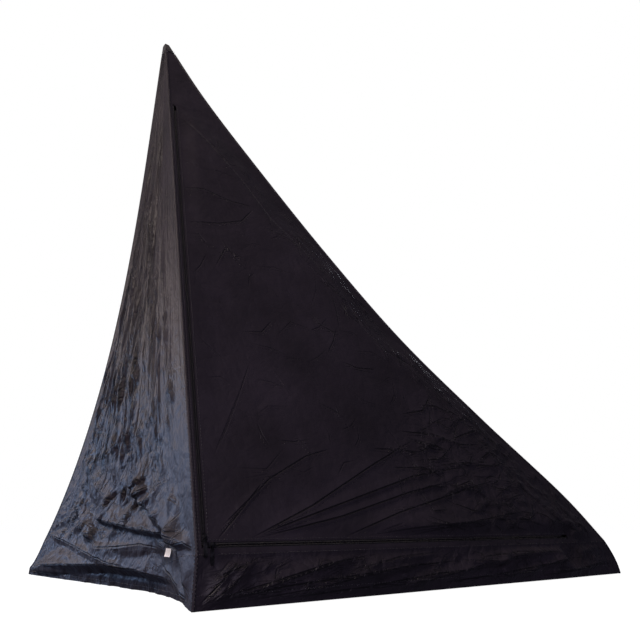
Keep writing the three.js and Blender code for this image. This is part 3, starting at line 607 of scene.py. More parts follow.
FOLD_TOP = (float(zip_x(DOOR_TOP)) + ZIP_GROOVE, DOOR_TOP)
FOLD_FOOT = (DOOR_FOOT_X, BAND + (SILL_RISE + ZIP_GROOVE) * math.cos(LEAN))
SILL_TOP = FOLD_FOOT[1]
SILL_LOW = BAND + (SILL_RISE - ZIP_GROOVE) * math.cos(LEAN)


def fold_x(z):
    """The line that the door folds back on."""
    return FOLD_TOP[0] + (FOLD_FOOT[0] - FOLD_TOP[0]) * (z - FOLD_TOP[1]) / (FOLD_FOOT[1] - FOLD_TOP[1])


# Where the stored door has left its soft crease, a little inside the fold.
STORED = [(-0.633, 1.233), (-0.538, 1.137), (-0.445, 1.029), (-0.37, 0.915), (-0.275, 0.828), (-0.193, 0.752),
    (-0.14, 0.639), (-0.075, 0.57), (0.022, 0.533), (0.153, 0.39), (0.248, 0.26), (0.395, 0.145), (0.565, 0.079)]

PULL_REST = (0.43, 0.078)  # where the sill zip's pull comes to rest


def foot_slack(x, z):
    """How loose the near side is: taut by the upright zip, slack low down towards the foot."""
    return smooth((x + 0.3) / 0.5) * (1 - smooth((z - 0.15) / 0.5)) + 0.5 * (z < BAND)


def near_relief(x, z):
    """How far the near side's cloth stands out of its plane, over the door, the hip panel and the skirt alike."""
    h = blank_relief(x)
    to_hip = (hip_x(z) - x) * 0.72
    fold(h, x, z, [(-0.62, 1.32)] + STORED[1:-1] + [(0.6, 0.06)], 0.075, 0.3, 0.014, ends=(0.15, 0.1), pressed=0)
    fold(h, x, z, STORED, 0.01, 0.016, -0.0022, ends=(0.1, 0.1))
    # Creases drawn out of the foot of the upright zip, and those along the sill and the skirt.
    for path, upper, lower, height in metres((([(-585, 102), (-410, 170), (-220, 260), (-60, 330)], 40, 6, 3.9),
            ([(-560, 112), (-360, 168), (-100, 240), (30, 262), (120, 270)], 40, 6, 6),
            ([(-570, 108), (-340, 150), (-120, 205), (50, 236)], 35, 6, 4.6),
            ([(-360, 106), (-170, 160), (100, 220), (200, 240)], 44, 7.2, 5.3),
            ([(-200, 108), (-20, 128), (160, 150), (300, 165)], 40, 6, 5.1),
            ([(-635, 105), (-580, 155), (-520, 210)], 22, 4.8, 2.3), ([(-615, 260), (-575, 330), (-530, 410)], 22,
            4.5, 0.4), ([(-600, 280), (-550, 370), (-500, 470)], 22, 4.5, 0.6),
            ([(-620, 130), (-500, 220), (-400, 270), (-330, 290)], 26, 4.8, 2.1),
            ([(-650, 925), (-560, 940), (-480, 925), (-420, 930)], 26, 4.5, 2.3),
            ([(-620, 820), (-530, 840), (-460, 870), (-420, 920)], 26, 4.5, 1.8),
            ([(-390, 870), (-330, 855), (-280, 830)], 22, 4.5, 2.3), ([(-300, 630), (-270, 600), (-220, 585)], 22,
            4.5, 2.3), ([(-230, 510), (-190, 500), (-130, 505)], 22, 4.5, 2.3),
            ([(-150, 260), (-60, 263), (20, 250)], 20, 4.5, 2.5), ([(-200, 300), (-120, 302), (-50, 300)], 20, 4.5,
            2.1), ([(-100, 350), (20, 345), (100, 325), (180, 330)], 22, 4.8, 3.7),
            ([(50, 330), (160, 365), (270, 380)], 22, 4.8, 3.4), ([(0, 270), (100, 280), (200, 272), (300, 300)],
            22, 4.8, 3.9), ([(-640, 50), (-550, 79), (-500, 84)], 22, 4.5, 3.4),
            ([(-660, 12), (-620, 50), (-585, 83)], 26, 4.5, 4.1), ([(-660, 10), (-560, 32), (-390, 66), (-240, 80)],
            31, 4.8, 5.1), ([(-630, 12), (-500, 30), (-340, 40), (-180, 52), (0, 58)], 31, 4.8, 4.8),
            ([(-500, 10), (-300, 18), (-100, 34), (100, 40)], 26, 4.5, 3.9),
            ([(-100, 14), (100, 22), (280, 38), (450, 44)], 31, 4.8, 4.6),
            ([(50, 62), (200, 72), (380, 66)], 26, 4.8, 4.1), ([(280, 12), (420, 20), (560, 30), (630, 28)], 26,
            4.5, 4.1))):
        fold(h, x, z, path, 0.45 * upper, 1.6 * lower, 0.55 * height, pressed=min(1.2, 0.25 + 300 * height))
    # Wedges that stand out along the skirt and above the sill, dark on their under sides.
    for path, upper, lower, height in metres((([(-660, 6), (-600, 40), (-560, 84)], 30, 22, 8),
            ([(-640, 8), (-540, 30), (-400, 60), (-300, 82)], 26, 18, 10),
            ([(-580, 10), (-420, 24), (-260, 44), (-120, 60)], 26, 17, 10),
            ([(-340, 50), (-200, 72), (-60, 78)], 18, 14, 8), ([(-300, 12), (-120, 22), (60, 46), (200, 60)], 26,
            17, 9), ([(-20, 60), (120, 52), (260, 70), (400, 74)], 18, 15, 9),
            ([(60, 14), (220, 24), (360, 46), (500, 50)], 26, 16, 9), ([(300, 20), (440, 20), (560, 34), (640, 36)],
            24, 13, 8), ([(-300, 112), (-140, 126), (20, 134), (140, 142)], 50, 14, 10))):
        fold(h, x, z, path, upper, lower, height, ends=(0.3, 0.3))
    # Short wavy creases, most of them low down towards the foot and along the hip.
    random = np.random.default_rng(5)
    low = np.stack([random.uniform(-0.05, 0.6, 150), 0.1 + 0.34 * random.beta(1.1, 1.6, 150)], -1)
    low = low[low[:, 0] < hip_x(low[:, 1]) - 0.03]
    short_creases(h, x, z, low, math.radians(4), 0.35, (0.05, 0.17), (0.0012, 0.0034), 6, sharp=0.005, pressed=1.4)
    heights = 0.12 + 1.05 * random.beta(1.0, 1.5, 150)
    by_hip = np.stack([hip_x(heights) - random.uniform(0.02, 0.16, 150), heights], -1)
    short_creases(h, x, z, by_hip, math.radians(-42), 0.5, (0.03, 0.1), (0.0008, 0.0024), 7, sharp=0.006,
        pressed=1.2)
    anywhere = np.stack([random.uniform(-0.64, 0.4, 150), random.uniform(0.12, 1.2, 150)], -1)
    anywhere = anywhere[anywhere[:, 0] < hip_x(anywhere[:, 1]) - 0.05]
    short_creases(h, x, z, anywhere, math.radians(20), 0.8, (0.04, 0.14), (0.0004, 0.0012), 8, sharp=0.006)
    on_skirt = np.stack([random.uniform(-0.64, 0.64, 110), random.uniform(0.012, 0.08, 110)], -1)
    short_creases(h, x, z, on_skirt, math.radians(18), 0.35, (0.03, 0.12), (0.001, 0.0028), 9, sharp=0.006)
    foot = np.minimum(foot_slack(x, z), 1)
    h[..., 0] += (0.0009 + 0.0032 * foot) * crumple(x, z, 0.075, 51) + (0.0004 + 0.0008 * foot) * crumple(x, z,
        0.026, 57)
    h[..., 0] += 0.004 * noise(x * 2.2, z * 2.2, 61)
    # Held flat along the zips, the skirt seam, the front edge and the hip.
    by_front = smooth((x - front_x(z) - 0.024) / 0.05)
    above = smooth((z - SILL_TOP - 0.001) / 0.03)
    below = smooth((BAND - 0.006 - z) / 0.02) * smooth((z + 0.004) / 0.012) * smooth((x - front_x(z) - 0.004)
        / 0.03)
    past_sill = smooth((x - DOOR_FOOT_X) / 0.03)
    upper = np.where(z > DOOR_TOP, smooth((x - front_x(z) - 0.005) / 0.03),
        by_front) * smooth((PANEL_TOP - z) / 0.12)
    upper = upper * np.maximum(above, past_sill * smooth((z - BAND - 0.005) / 0.02))
    # Flat where the sill zip's pull comes to rest.
    h[..., 0] *= smooth((np.hypot(x - PULL_REST[0], z - PULL_REST[1]) - 0.026) / 0.03)
    return held(h, np.where(z < BAND, below, upper) * smooth((to_hip - 0.004) / 0.03))


def near_cloth(name, rows, columns, z_of, left, right, node, body):
    """A panel of the near side between a left and a right edge, each given by height."""
    up, across = grid(rows, columns)
    z = z_of(up)
    x = left(z) + (right(z) - left(z)) * across
    piece = cloth_panel(name, near_point(x, z), near_relief(x, z), NEAR_OUT, np.stack([x, up_slope(z)], -1),
        wall_nylon, 0.16 + 0.5 * foot_slack(x, z))
    belongs(piece, node, "wall_cloth", body)
    return piece


door = near_cloth("door_cloth", 222, 222, lambda t: SILL_TOP + (DOOR_TOP - 0.002 - SILL_TOP) * t ** 1.5,
    lambda z: zip_x(z) + ZIP_GROOVE, fold_x, "door_panel", None)
FOLD_MIDDLE, BEND = 0.67, 0.022  # a height on the fold, and the width over which the cloth bends
on_fold, top_point, foot_point = (Vector(near_point(np.array(x), np.array(z)).tolist()) for x,
    z in ((fold_x(FOLD_MIDDLE), FOLD_MIDDLE), FOLD_TOP, FOLD_FOOT))
into_door = (foot_point - top_point).normalized().cross(Vector(OUT))
if into_door.x > 0:
    into_door = -into_door
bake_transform(door)


def hip_left(z):
    """The hip panel's front edge: the sill's end, then the fold, then the front edge above the door."""
    low = np.where(z < SILL_TOP, DOOR_FOOT_X, fold_x(z))
    return np.where(z > DOOR_TOP - 0.002, front_x(z), low)


hip = near_cloth("hip_cloth", 240, 130, lambda t: SILL_LOW + (PANEL_TOP - SILL_LOW) * t, hip_left, hip_x,
    "hip_panel", "tent")
strip = near_cloth("near_strip_cloth", 160, 5, lambda t: SILL_LOW + (DOOR_TOP - SILL_LOW) * t, front_x,
    lambda z: zip_x(z) - ZIP_GROOVE, "near_edge_strip", "tent")
skirt = near_cloth("near_skirt_cloth", 36, 330, lambda t: HEM_LIFT + (SILL_LOW - HEM_LIFT) * t, front_x, hip_x,
    "near_band", "tent")

# ---------- Far side, back slope and their skirts ----------
# Two more cuts of the same nylon. The far side hangs between its slack front edge and the hip, and the back slope
# is the long roof from the peak to the foot. Both are loose enough to sag between their seams.
FAR_HIP_SAG, ROOF_SAG = 0.018, 0.015


def far_hip(z):
    sag = np.where(z > BAND, FAR_HIP_SAG * np.sin(np.pi * np.clip(share(z), 0, 1)), 0)
    return np.stack([hip_x(z), side_half(z) - sag, z], -1)


def near_hip(z):
    return near_point(hip_x(z), z)


def far_point(s, z):
    a, b = far_front(z), far_hip(z)
    return a + (b - a) * s[..., None]


def roof_point(s, z):
    a, b = near_hip(z), far_hip(z)
    p = a + (b - a) * s[..., None]
    sag = np.where(z > BAND, ROOF_SAG * np.sin(np.pi * s) * np.sin(np.pi * np.clip(share(z), 0, 1)), 0)
    return p + np.stack([-sag, 0 * sag, -sag], -1)


def loose_relief(x, y, seed, margin, lines):
    """Folds of a loosely hung panel: drawn lines, short creases and a crumple, held flat within the margin."""
    h = blank_relief(x)
    for path, upper, lower, height in metres(lines):
        fold(h, x, y, path, upper, lower, height)
    random = np.random.default_rng(seed)
    places = np.stack([random.uniform(x.min(), x.max(), 200), random.uniform(y.min(), y.max(), 200)], -1)
    short_creases(h, x, y, places, math.radians(35), 0.7, (0.05, 0.16), (0.0008, 0.0026), seed + 1, sharp=0.008)
    h[..., 0] += 0.0028 * crumple(x, y, 0.1, seed + 2) + 0.0009 * crumple(x, y, 0.035, seed + 3)
    return held(h, smooth((margin - 0.004) / 0.04))


up, across = grid(200, 150)
z = BAND + (PANEL_TOP - BAND) * up ** 1.15
points = far_point(across, z)
span = np.linalg.norm(far_hip(z) - far_front(z), axis=-1)
margin = np.minimum(np.minimum(across, 1 - across) * span, np.minimum(z - BAND, PANEL_TOP - z))
far_lines = (([(-600, 110), (-300, 300), (0, 500)], 20, 14, 6), ([(-580, 100), (-200, 190), (200, 270)], 20, 14, 6),
    ([(-550, 1100), (-450, 800), (-300, 450), (-200, 200)], 30, 50, 8), ([(-570, 1250), (-400, 950), (-100, 620)],
    30, 30, 6), ([(550, 110), (200, 200), (-100, 360)], 14, 20, 6))
far_wall = cloth_panel("far_wall_cloth", points, loose_relief(points[..., 0], z, 101, margin, far_lines),
    (0, 1, 0.3), np.stack([points[..., 0], up_slope(z)], -1), wall_nylon, 0.6)
belongs(far_wall, "far_wall", "wall_cloth")

up, across = grid(230, 130)
z = BAND + (PANEL_TOP - BAND) * up
points = roof_point(across, z)
down = np.concatenate([[0], np.cumsum(np.hypot(np.diff(hip_x(z[:, 0])), np.diff(z[:, 0])))])[:, None] + 0 * z
span = np.linalg.norm(far_hip(z) - near_hip(z), axis=-1)
margin = np.minimum(np.minimum(across, 1 - across) * span, np.minimum(down, down.max() - down))
roof_x = (across - 0.5) * span
roof_lines = (([(-450, 60), (-200, 400), (-50, 950)], 30, 20, 6), ([(450, 60), (220, 420), (40, 1050)], 20, 30, 6),
    ([(-440, 50), (-100, 200), (200, 280)], 20, 16, 6), ([(440, 50), (100, 160), (-120, 220)], 16, 20, 6),
    ([(0, 300), (10, 800), (0, 1400)], 30, 30, 4))
back_slope = cloth_panel("back_slope_cloth", points, loose_relief(roof_x, down, 131, margin, roof_lines),
    (1, 0, 0.5), np.stack([roof_x, down], -1), wall_nylon, 0.6)
belongs(back_slope, "back_slope", "wall_cloth")

up, across = grid(22, 220)
z = HEM_LIFT + (BAND - HEM_LIFT) * up
points = far_point(across, z)
margin = np.minimum(np.minimum(z, BAND - z) * 1.6, np.minimum(across, 1 - across) * 1.2)
far_skirt = cloth_panel("far_skirt_cloth", points, loose_relief(points[..., 0], z, 151, margin, ()), (0, 1, 0),
    np.stack([points[..., 0], z - BAND], -1), wall_nylon, 0.8)
belongs(far_skirt, "far_band", "wall_cloth")

up, across = grid(26, 180)
z = HEM_LIFT + (BAND - HEM_LIFT) * up
points = roof_point(across, z)
margin = np.minimum(np.minimum(z, BAND - z) * 1.6, np.minimum(across, 1 - across) * 1.0)
back_skirt = cloth_panel("back_skirt_cloth", points, loose_relief(points[..., 1], z, 161, margin, ()), (1, 0, 0),
    np.stack([points[..., 1], z - BAND], -1), wall_nylon, 0.8)
belongs(back_skirt, "back_band", "wall_cloth")

# ---------- Seams and stitching ----------
# Where two cuts of cloth meet, their edges are rolled together into a flat 10 mm ridge and sewn down with a row of
# black polyester thread on each side. The skirt hangs from a narrower ridge, and each hem is held by one row.
SEAM_HALF, SEAM_PROUD, SEAM_UNDER = 0.0048, 0.001, 0.0018
SEAM_PROFILE = np.array([0.0002, SEAM_PROUD, 1.2 * SEAM_PROUD, SEAM_PROUD, 0.0002])
SEAM_ROWS = np.array([-1, -0.6, 0, 0.6, 1])
HEM_THREAD = 0.0245  # height of the row of thread along a hem
FIRST_STITCH = 3  # points left bare at a seam's low end, so that no thread goes through the floor
THREAD_PROUD = 0.0004
stitch_rows = {"tent": [], "door": []}


def swept(name, rings, material, slack=0.2):
    """A closed body from rings of points, one after the other, with flat ends and a cloth map in metres."""
    rings = np.asarray(rings, float)
    count, around = rings.shape[:2]
    at = np.arange(count * around).reshape(count, around)
    faces = [(at[i, j], at[i, (j + 1) % around], at[i + 1, (j + 1) % around],
        at[i + 1, j]) for i in range(count - 1) for j in range(around)]
    faces += [tuple(at[0, ::-1]), tuple(at[-1])]
    points = rings.reshape(-1, 3)
    a, b, c, d = (points[np.array([f[k] for f in faces[:-2]])] for k in range(4))
    middle = points.mean(0)
    volume = np.einsum("ij,ij->", a - middle, np.cross(b - middle, c - middle) + np.cross(c - middle, d - middle))
    if volume < 0:
        faces = [f[::-1] for f in faces]
    piece = new_mesh(name, points, faces, material)
    along = np.concatenate([[0], np.cumsum(np.linalg.norm(np.diff(rings, axis=0), axis=2).mean(1))])
    gone = np.concatenate([[0], np.cumsum(np.linalg.norm(np.diff(rings[0], axis=0), axis=1))])
    flat = np.stack(np.broadcast_arrays(along[:, None], gone[None, :]), -1).reshape(-1, 2)
    where = flat[np.concatenate([np.array(f) for f in faces])]
    piece.data.uv_layers.new(name="cloth").data.foreach_set("uv", where.astype(np.float32).ravel())
    piece.data.attributes.new("slack", "FLOAT", "POINT").data.foreach_set("value", [slack] * len(points))
    return piece


def unit(v):
    return v / np.maximum(np.linalg.norm(v, axis=-1, keepdims=True), 1e-12)


def seam(name, rows, normals):
    """A rolled seam over five rows of points on the cloth, with its rows of thread."""
    outer = rows + normals * SEAM_PROFILE[:, None, None]
    inner = rows - normals * SEAM_UNDER
    ring = np.concatenate([outer, inner[::-1]]).transpose(1, 0, 2)
    piece = swept(name, ring, wall_nylon)
    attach(piece, "tent")
    for k in (1, 3):
        stitch_rows["tent"].append((rows + normals * (SEAM_PROFILE[:, None, None] + 0.0002))[k][FIRST_STITCH:])
    return piece


def corner_seam(name, edge, first, second, outward):
    """The seam along an edge between two panels, which run away from it along `first` and `second`."""
    tangent = unit(np.gradient(edge, axis=0))
    sides, normals = [], []
    for way in (first, second):
        way = unit(way - (way * tangent).sum(-1, keepdims=True) * tangent)
        out = unit(np.cross(tangent, way))
        normals.append(np.where((out @ np.array(outward))[:, None] > 0, out, -out))
        sides.append(way)
    rows = np.stack([edge + abs(k) * SEAM_HALF * sides[int(k > 0)] for k in SEAM_ROWS])
    ridge = unit(normals[0] + normals[1])
    return seam(name, rows, np.stack([normals[0], normals[0], ridge, normals[1], normals[1]]))


def line_seam(name, surface, along, across, outward):
    """The seam along a line drawn on one surface; surface(a, b) gives its points, and along and across the line."""
    offsets = SEAM_ROWS[:, None] * 0.004
    points, relief = surface(along + 0 * offsets, across + offsets)
    normals = surface_normals(points, outward)
    return seam(name, points + normals * relief[..., :1], normals)


def thread_row(surface, along, across, outward, body="tent"):
    """One row of thread on a surface, without a seam."""
    offsets = np.array([[-0.002], [0], [0.002]])
    points, relief = surface(along + 0 * offsets, across + offsets)
    stitch_rows[body].append((points + surface_normals(points, outward) * (relief[..., :1] + THREAD_PROUD))[1])


def near_surface(x, z):
    return near_point(x, z), near_relief(x, z)


def end_surface(s, z):
    return entrance_point(end_inset(s, z), z), entrance_relief(s, z)


def far_surface(s, z):
    return far_point(s, z), np.zeros(s.shape + (3,))


def roof_surface(s, z):
    return roof_point(s, z), np.zeros(s.shape + (3,))


heights = HEM_LIFT + (PANEL_TOP - 0.004 - HEM_LIFT) * np.linspace(0, 1, 190) ** 1.25
sliver = np.minimum(0.5, 0.006 / (2 * side_half(heights)))
towards_foot = np.array([[1.0, 0, 0]] * len(heights))


def into_end(edge, inner):
    return entrance_point(inner, heights) - entrance_point(edge + 0 * sliver, heights)


corner_seam("near_edge_seam", near_front(heights), into_end(0, sliver), towards_foot, (-1, -1, 0.3))
corner_seam("far_edge_seam", far_front(heights), into_end(1, 1 - sliver),
    far_point(0.01 + 0 * sliver, heights) - far_front(heights), (-1, 1, 0.3))
corner_seam("near_hip_seam", near_hip(heights), -towards_foot, roof_point(sliver, heights) - near_hip(heights),
    (1, -1, 0.5))
corner_seam("far_hip_seam", far_hip(heights), far_point(0.99 + 0 * sliver, heights) - far_hip(heights),
    roof_point(1 - sliver, heights) - far_hip(heights), (1, 1, 0.5))
run = np.linspace(0.007, 0.993, 200)
near_run = np.linspace(-LENGTH / 2 + 0.008, hip_x(BAND) - 0.008, 220)
line_seam("far_skirt_seam", far_surface, run, BAND + 0 * run, (0, 1, 0))
line_seam("back_skirt_seam", roof_surface, run, BAND + 0 * run, (1, 0, 0))
# Rows of thread without a ridge: the hems, and the turned edges beside the two zips.
thread_row(end_surface, run, 0.011 + 0 * run, (-1, 0, 0))
thread_row(end_surface, run, entrance_seam(run) - 0.003, (-1, 0, 0))
thread_row(near_surface, near_run, HEM_THREAD + 0 * near_run, NEAR_OUT)
thread_row(near_surface, near_run, BAND - 0.002 + 0 * near_run, NEAR_OUT)
thread_row(far_surface, run, HEM_THREAD + 0 * run, (0, 1, 0))
thread_row(roof_surface, run, HEM_THREAD + 0 * run, (1, 0, 0))
tall = np.linspace(SILL_TOP + 0.004, DOOR_TOP - 0.006, 150)
for body, beside in (("tent", -0.0085), ("door", 0.0085)):
    stitch_rows[body].append(near_point(zip_x(tall) + beside, tall) + OUT * THREAD_PROUD)
low_run = np.linspace(float(zip_x(SILL_TOP)) + 0.006, DOOR_FOOT_X - 0.006, 150)
thread_row(near_surface, low_run, SILL_TOP + 0.0035 + 0 * low_run, NEAR_OUT, "door")

# Sewing thread: black bonded polyester; its twist is painted on as lighter bands, a painted highlight along each
# stitch.
thread, tree, shader = new_material("black_bonded_polyester_thread")
place = add(tree, "TexCoord").outputs["Object"]
# The twist is 0.3 mm long. It is drawn 1 mm long.
twist = add(tree, "TexWave", {"Vector": place, "Scale": BANDS / 0.001}, bands_direction="DIAGONAL")
# Painted highlight: the twist's bands run from near-black to a lighter grey in the base colour.
twist_highlight = add(tree, "ValToRGB", {"Fac": twist.outputs["Fac"]})
twist_highlight.color_ramp.elements[0].color, twist_highlight.color_ramp.elements[1].color = linear("#0e0d0f"), linear("#232125")
fill(shader, {"Base Color": twist_highlight, "Roughness": 0.5, "Sheen Weight": 0.2})


def node_group(name, inputs):
    """An empty Geometry Nodes group with named inputs: the group, its input node and its output node."""
    group = bpy.data.node_groups.new(name, "GeometryNodeTree")
    group.interface.new_socket("Geometry", in_out="INPUT", socket_type="NodeSocketGeometry")
    for label, kind in inputs:
        group.interface.new_socket(label, in_out="INPUT", socket_type=kind)
    group.interface.new_socket("Geometry", in_out="OUTPUT", socket_type="NodeSocketGeometry")
    return group, add(group, "NodeGroupInput"), group.nodes.new("NodeGroupOutput")


def grown(name, seed_mesh, group, values):
    """The mesh that a Geometry Nodes group makes of a seed mesh, as a finished object."""
    source = bpy.data.objects.new(name + "_seed", seed_mesh)
    bpy.context.scene.collection.objects.link(source)
    modifier = source.modifiers.new("grow", "NODES")
    modifier.node_group = group
    for socket in group.interface.items_tree:
        if socket.in_out == "INPUT" and socket.name in values:
            modifier[socket.identifier] = values[socket.name]
    made = bpy.data.meshes.new_from_object(source.evaluated_get(bpy.context.evaluated_depsgraph_get()))
    bpy.data.objects.remove(source)
    piece = bpy.data.objects.new(name, made)
    made.name = name
    bpy.context.scene.collection.objects.link(piece)
    return piece


stitches, given, out = node_group("thread_stitches", (("Pitch", "NodeSocketFloat"),
    ("Stitch Length", "NodeSocketFloat"), ("Thread Width", "NodeSocketFloat"), ("Thread", "NodeSocketMaterial")))
lines = add(stitches, "GeometryNodeMeshToCurve", {"Mesh": given})
places = add(stitches, "GeometryNodeCurveToPoints", {"Curve": lines, "Length": given.outputs["Pitch"]},
    mode="LENGTH")
bead = add(stitches, "GeometryNodeMeshUVSphere", {"Segments": 6, "Rings": 4, "Radius": 0.5})
along = add(stitches, "FunctionNodeAlignRotationToVector", {"Vector": places.outputs["Tangent"]}, axis="X")
size = add(stitches, "CombineXYZ", {"X": given.outputs["Stitch Length"], "Y": given.outputs["Thread Width"],
    "Z": given.outputs["Thread Width"]})
beads = add(stitches, "GeometryNodeInstanceOnPoints", {"Points": places, "Instance": bead, "Rotation": along,
    "Scale": size})
solid = add(stitches, "GeometryNodeRealizeInstances", {"Geometry": beads})
rounded = add(stitches, "GeometryNodeSetShadeSmooth", {"Geometry": solid})
painted = add(stitches, "GeometryNodeSetMaterial", {"Geometry": rounded, "Material": given.outputs["Thread"]})
fill(out, {"Geometry": painted})


def sewn(name, rows):
    """Every stitch of a set of rows, as one mesh."""
    mesh = bpy.data.meshes.new(name + "_rows")
    starts = np.cumsum([0] + [len(row) for row in rows])
    edges = [(i, i + 1) for a, b in zip(starts, starts[1:]) for i in range(a, b - 1)]
    mesh.from_pydata([tuple(p) for row in rows for p in row], edges, [])
    piece = grown(name, mesh, stitches, {"Pitch": 0.0065, "Stitch Length": 0.0042, "Thread Width": 0.0011,
        "Thread": thread})
    return piece


# ---------- Zips ----------
# Two black nylon coil zips meet at the near front corner: one runs up the front edge, the other along the sill.
# Each half is a moulded coil on a woven tape, sewn under the turned edge of the cloth; the sliders are lacquered zinc.
SILL_LINE = BAND + SILL_RISE * math.cos(LEAN)
CORNER, UPRIGHT_TOP = (near_point(zip_x(np.array(z)), np.array(z)) for z in (SILL_LINE, DOOR_TOP))
ZIPS = {"upright_zip": (unit(UPRIGHT_TOP - CORNER), float(np.linalg.norm(UPRIGHT_TOP - CORNER))),
    "sill_zip": (np.array([1.0, 0, 0]), DOOR_FOOT_X - float(CORNER[0]))}
DOOR_CLEAR, FRAME_CLEAR = 0.0235, 0.004  # how far each half stops short of the ends of its zip
COIL_PITCH, WIRE, COIL_MIDDLE, COIL_HALF, COIL_DEPTH = 0.002, 0.0005, 0.0021, 0.0011, 0.0008


def zip_place(name, x, y, z):
    """A point in a zip's own frame: x across towards the door, y along it from the corner, z out of the cloth."""
    along = ZIPS[name][0]
    across = np.cross(along, OUT) if name == "upright_zip" else np.cross(OUT, along)
    across = across if across[2 if name == "sill_zip" else 0] > 0 else -across
    x, y, z = np.broadcast_arrays(x, y, z)
    return CORNER + x[..., None] * across + y[..., None] * along + z[..., None] * OUT


def woven_tape(name, dark, light, rib):
    """Woven tape: close ribs across its width, matt, a little lighter where the ribs have been rubbed."""
    material, tree, shader = new_material(name)
    where = add(tree, "UVMap", uv_map="cloth")
    ribs = add(tree, "TexWave", {"Vector": where, "Scale": BANDS / rib, "Distortion": 0.6, "Detail Scale": 2.0},
        bands_direction="X")
    rubbed = add(tree, "TexNoise", {"Vector": where, "Scale": 40.0, "Detail": 3.0})
    mixed = add(tree, "Math", {0: ribs.outputs["Fac"], 1: rubbed}, operation="MULTIPLY")
    tone = add(tree, "Mix", {0: mixed, 6: linear(dark), 7: linear(light)}, data_type="RGBA")
    relief = add(tree, "Bump", {"Height": ribs.outputs["Fac"], "Strength": 0.6, "Distance": 0.0003})
    fill(shader, {"Base Color": tone.outputs[2], "Normal": relief, "Roughness": 0.78, "Sheen Weight": 0.12})
    return material


def moulded(name, dark, light, grain, shine, shine_spread, bump):
    """A moulded or cast black piece: a fine grain, uneven gloss, and paler where it is handled."""
    material, tree, shader = new_material(name)
    place = add(tree, "TexCoord").outputs["Object"]
    fine = add(tree, "TexNoise", {"Vector": place, "Scale": grain, "Detail": 3.0})
    broad = add(tree, "TexNoise", {"Vector": place, "Scale": grain / 12, "Detail": 4.0, "Roughness": 0.65})
    tone = add(tree, "ValToRGB", {"Fac": broad})
    tone.color_ramp.elements[0].position, tone.color_ramp.elements[1].position = 0.42, 0.72
    tone.color_ramp.elements[0].color, tone.color_ramp.elements[1].color = linear(dark), linear(light)
    gloss = add(tree, "MapRange", {"Value": broad, "To Min": shine, "To Max": shine + shine_spread})
    relief = add(tree, "Bump", {"Height": fine, "Strength": 0.5, "Distance": bump})
    fill(shader, {"Base Color": tone, "Roughness": gloss, "Normal": relief})
    return material, shader


zip_tape = woven_tape("black_woven_zip_tape", "#0c0b0d", "#1b191d", 0.0012)
webbing = woven_tape("black_woven_polyester_webbing", "#0d0c0e", "#201e22", 0.0016)
coil_nylon, _ = moulded("black_moulded_nylon_coil", "#070708", "#121113", 2500.0, 0.55, 0.12, 0.00003)
zinc, shader = moulded("black_lacquered_zinc", "#111112", "#3c3c40", 900.0, 0.22, 0.2, 0.00004)
fill(shader, {"Metallic": 0.55})
plastic, _ = moulded("moulded_black_plastic", "#0f0f10", "#1d1d1f", 1500.0, 0.42, 0.14, 0.00006)
rubber, _ = moulded("matt_black_rubber", "#0b0b0b", "#1a1a1a", 700.0, 0.72, 0.16, 0.0001)

coil, given, out = node_group("moulded_coil", (("Length", "NodeSocketFloat"), ("Pitch", "NodeSocketFloat"),
    ("Half Width", "NodeSocketFloat"), ("Half Depth", "NodeSocketFloat"), ("Wire", "NodeSocketFloat"),
    ("Place", "NodeSocketVector"), ("Turn", "NodeSocketVector"), ("Nylon", "NodeSocketMaterial")))
turns = add(coil, "Math", {0: given.outputs["Length"], 1: given.outputs["Pitch"]}, operation="DIVIDE")
spiral = add(coil, "GeometryNodeCurveSpiral", {"Resolution": 8, "Rotations": turns, "Start Radius": 1.0,
    "End Radius": 1.0, "Height": given.outputs["Length"]})
oval = add(coil, "CombineXYZ", {"X": given.outputs["Half Width"], "Y": given.outputs["Half Depth"], "Z": 1.0})
pressed = add(coil, "GeometryNodeTransform", {"Geometry": spiral, "Scale": oval})
wire = add(coil, "GeometryNodeCurvePrimitiveCircle", {"Resolution": 5, "Radius": given.outputs["Wire"]})
body = add(coil, "GeometryNodeCurveToMesh", {"Curve": pressed, "Profile Curve": wire, "Fill Caps": True})
turn = add(coil, "FunctionNodeEulerToRotation", {"Euler": given.outputs["Turn"]})
laid = add(coil, "GeometryNodeTransform", {"Geometry": body, "Translation": given.outputs["Place"],
    "Rotation": turn})
solid = add(coil, "GeometryNodeRealizeInstances", {"Geometry": laid})
rounded = add(coil, "GeometryNodeSetShadeSmooth", {"Geometry": solid})
painted = add(coil, "GeometryNodeSetMaterial", {"Geometry": rounded, "Material": given.outputs["Nylon"]})
fill(out, {"Geometry": painted})

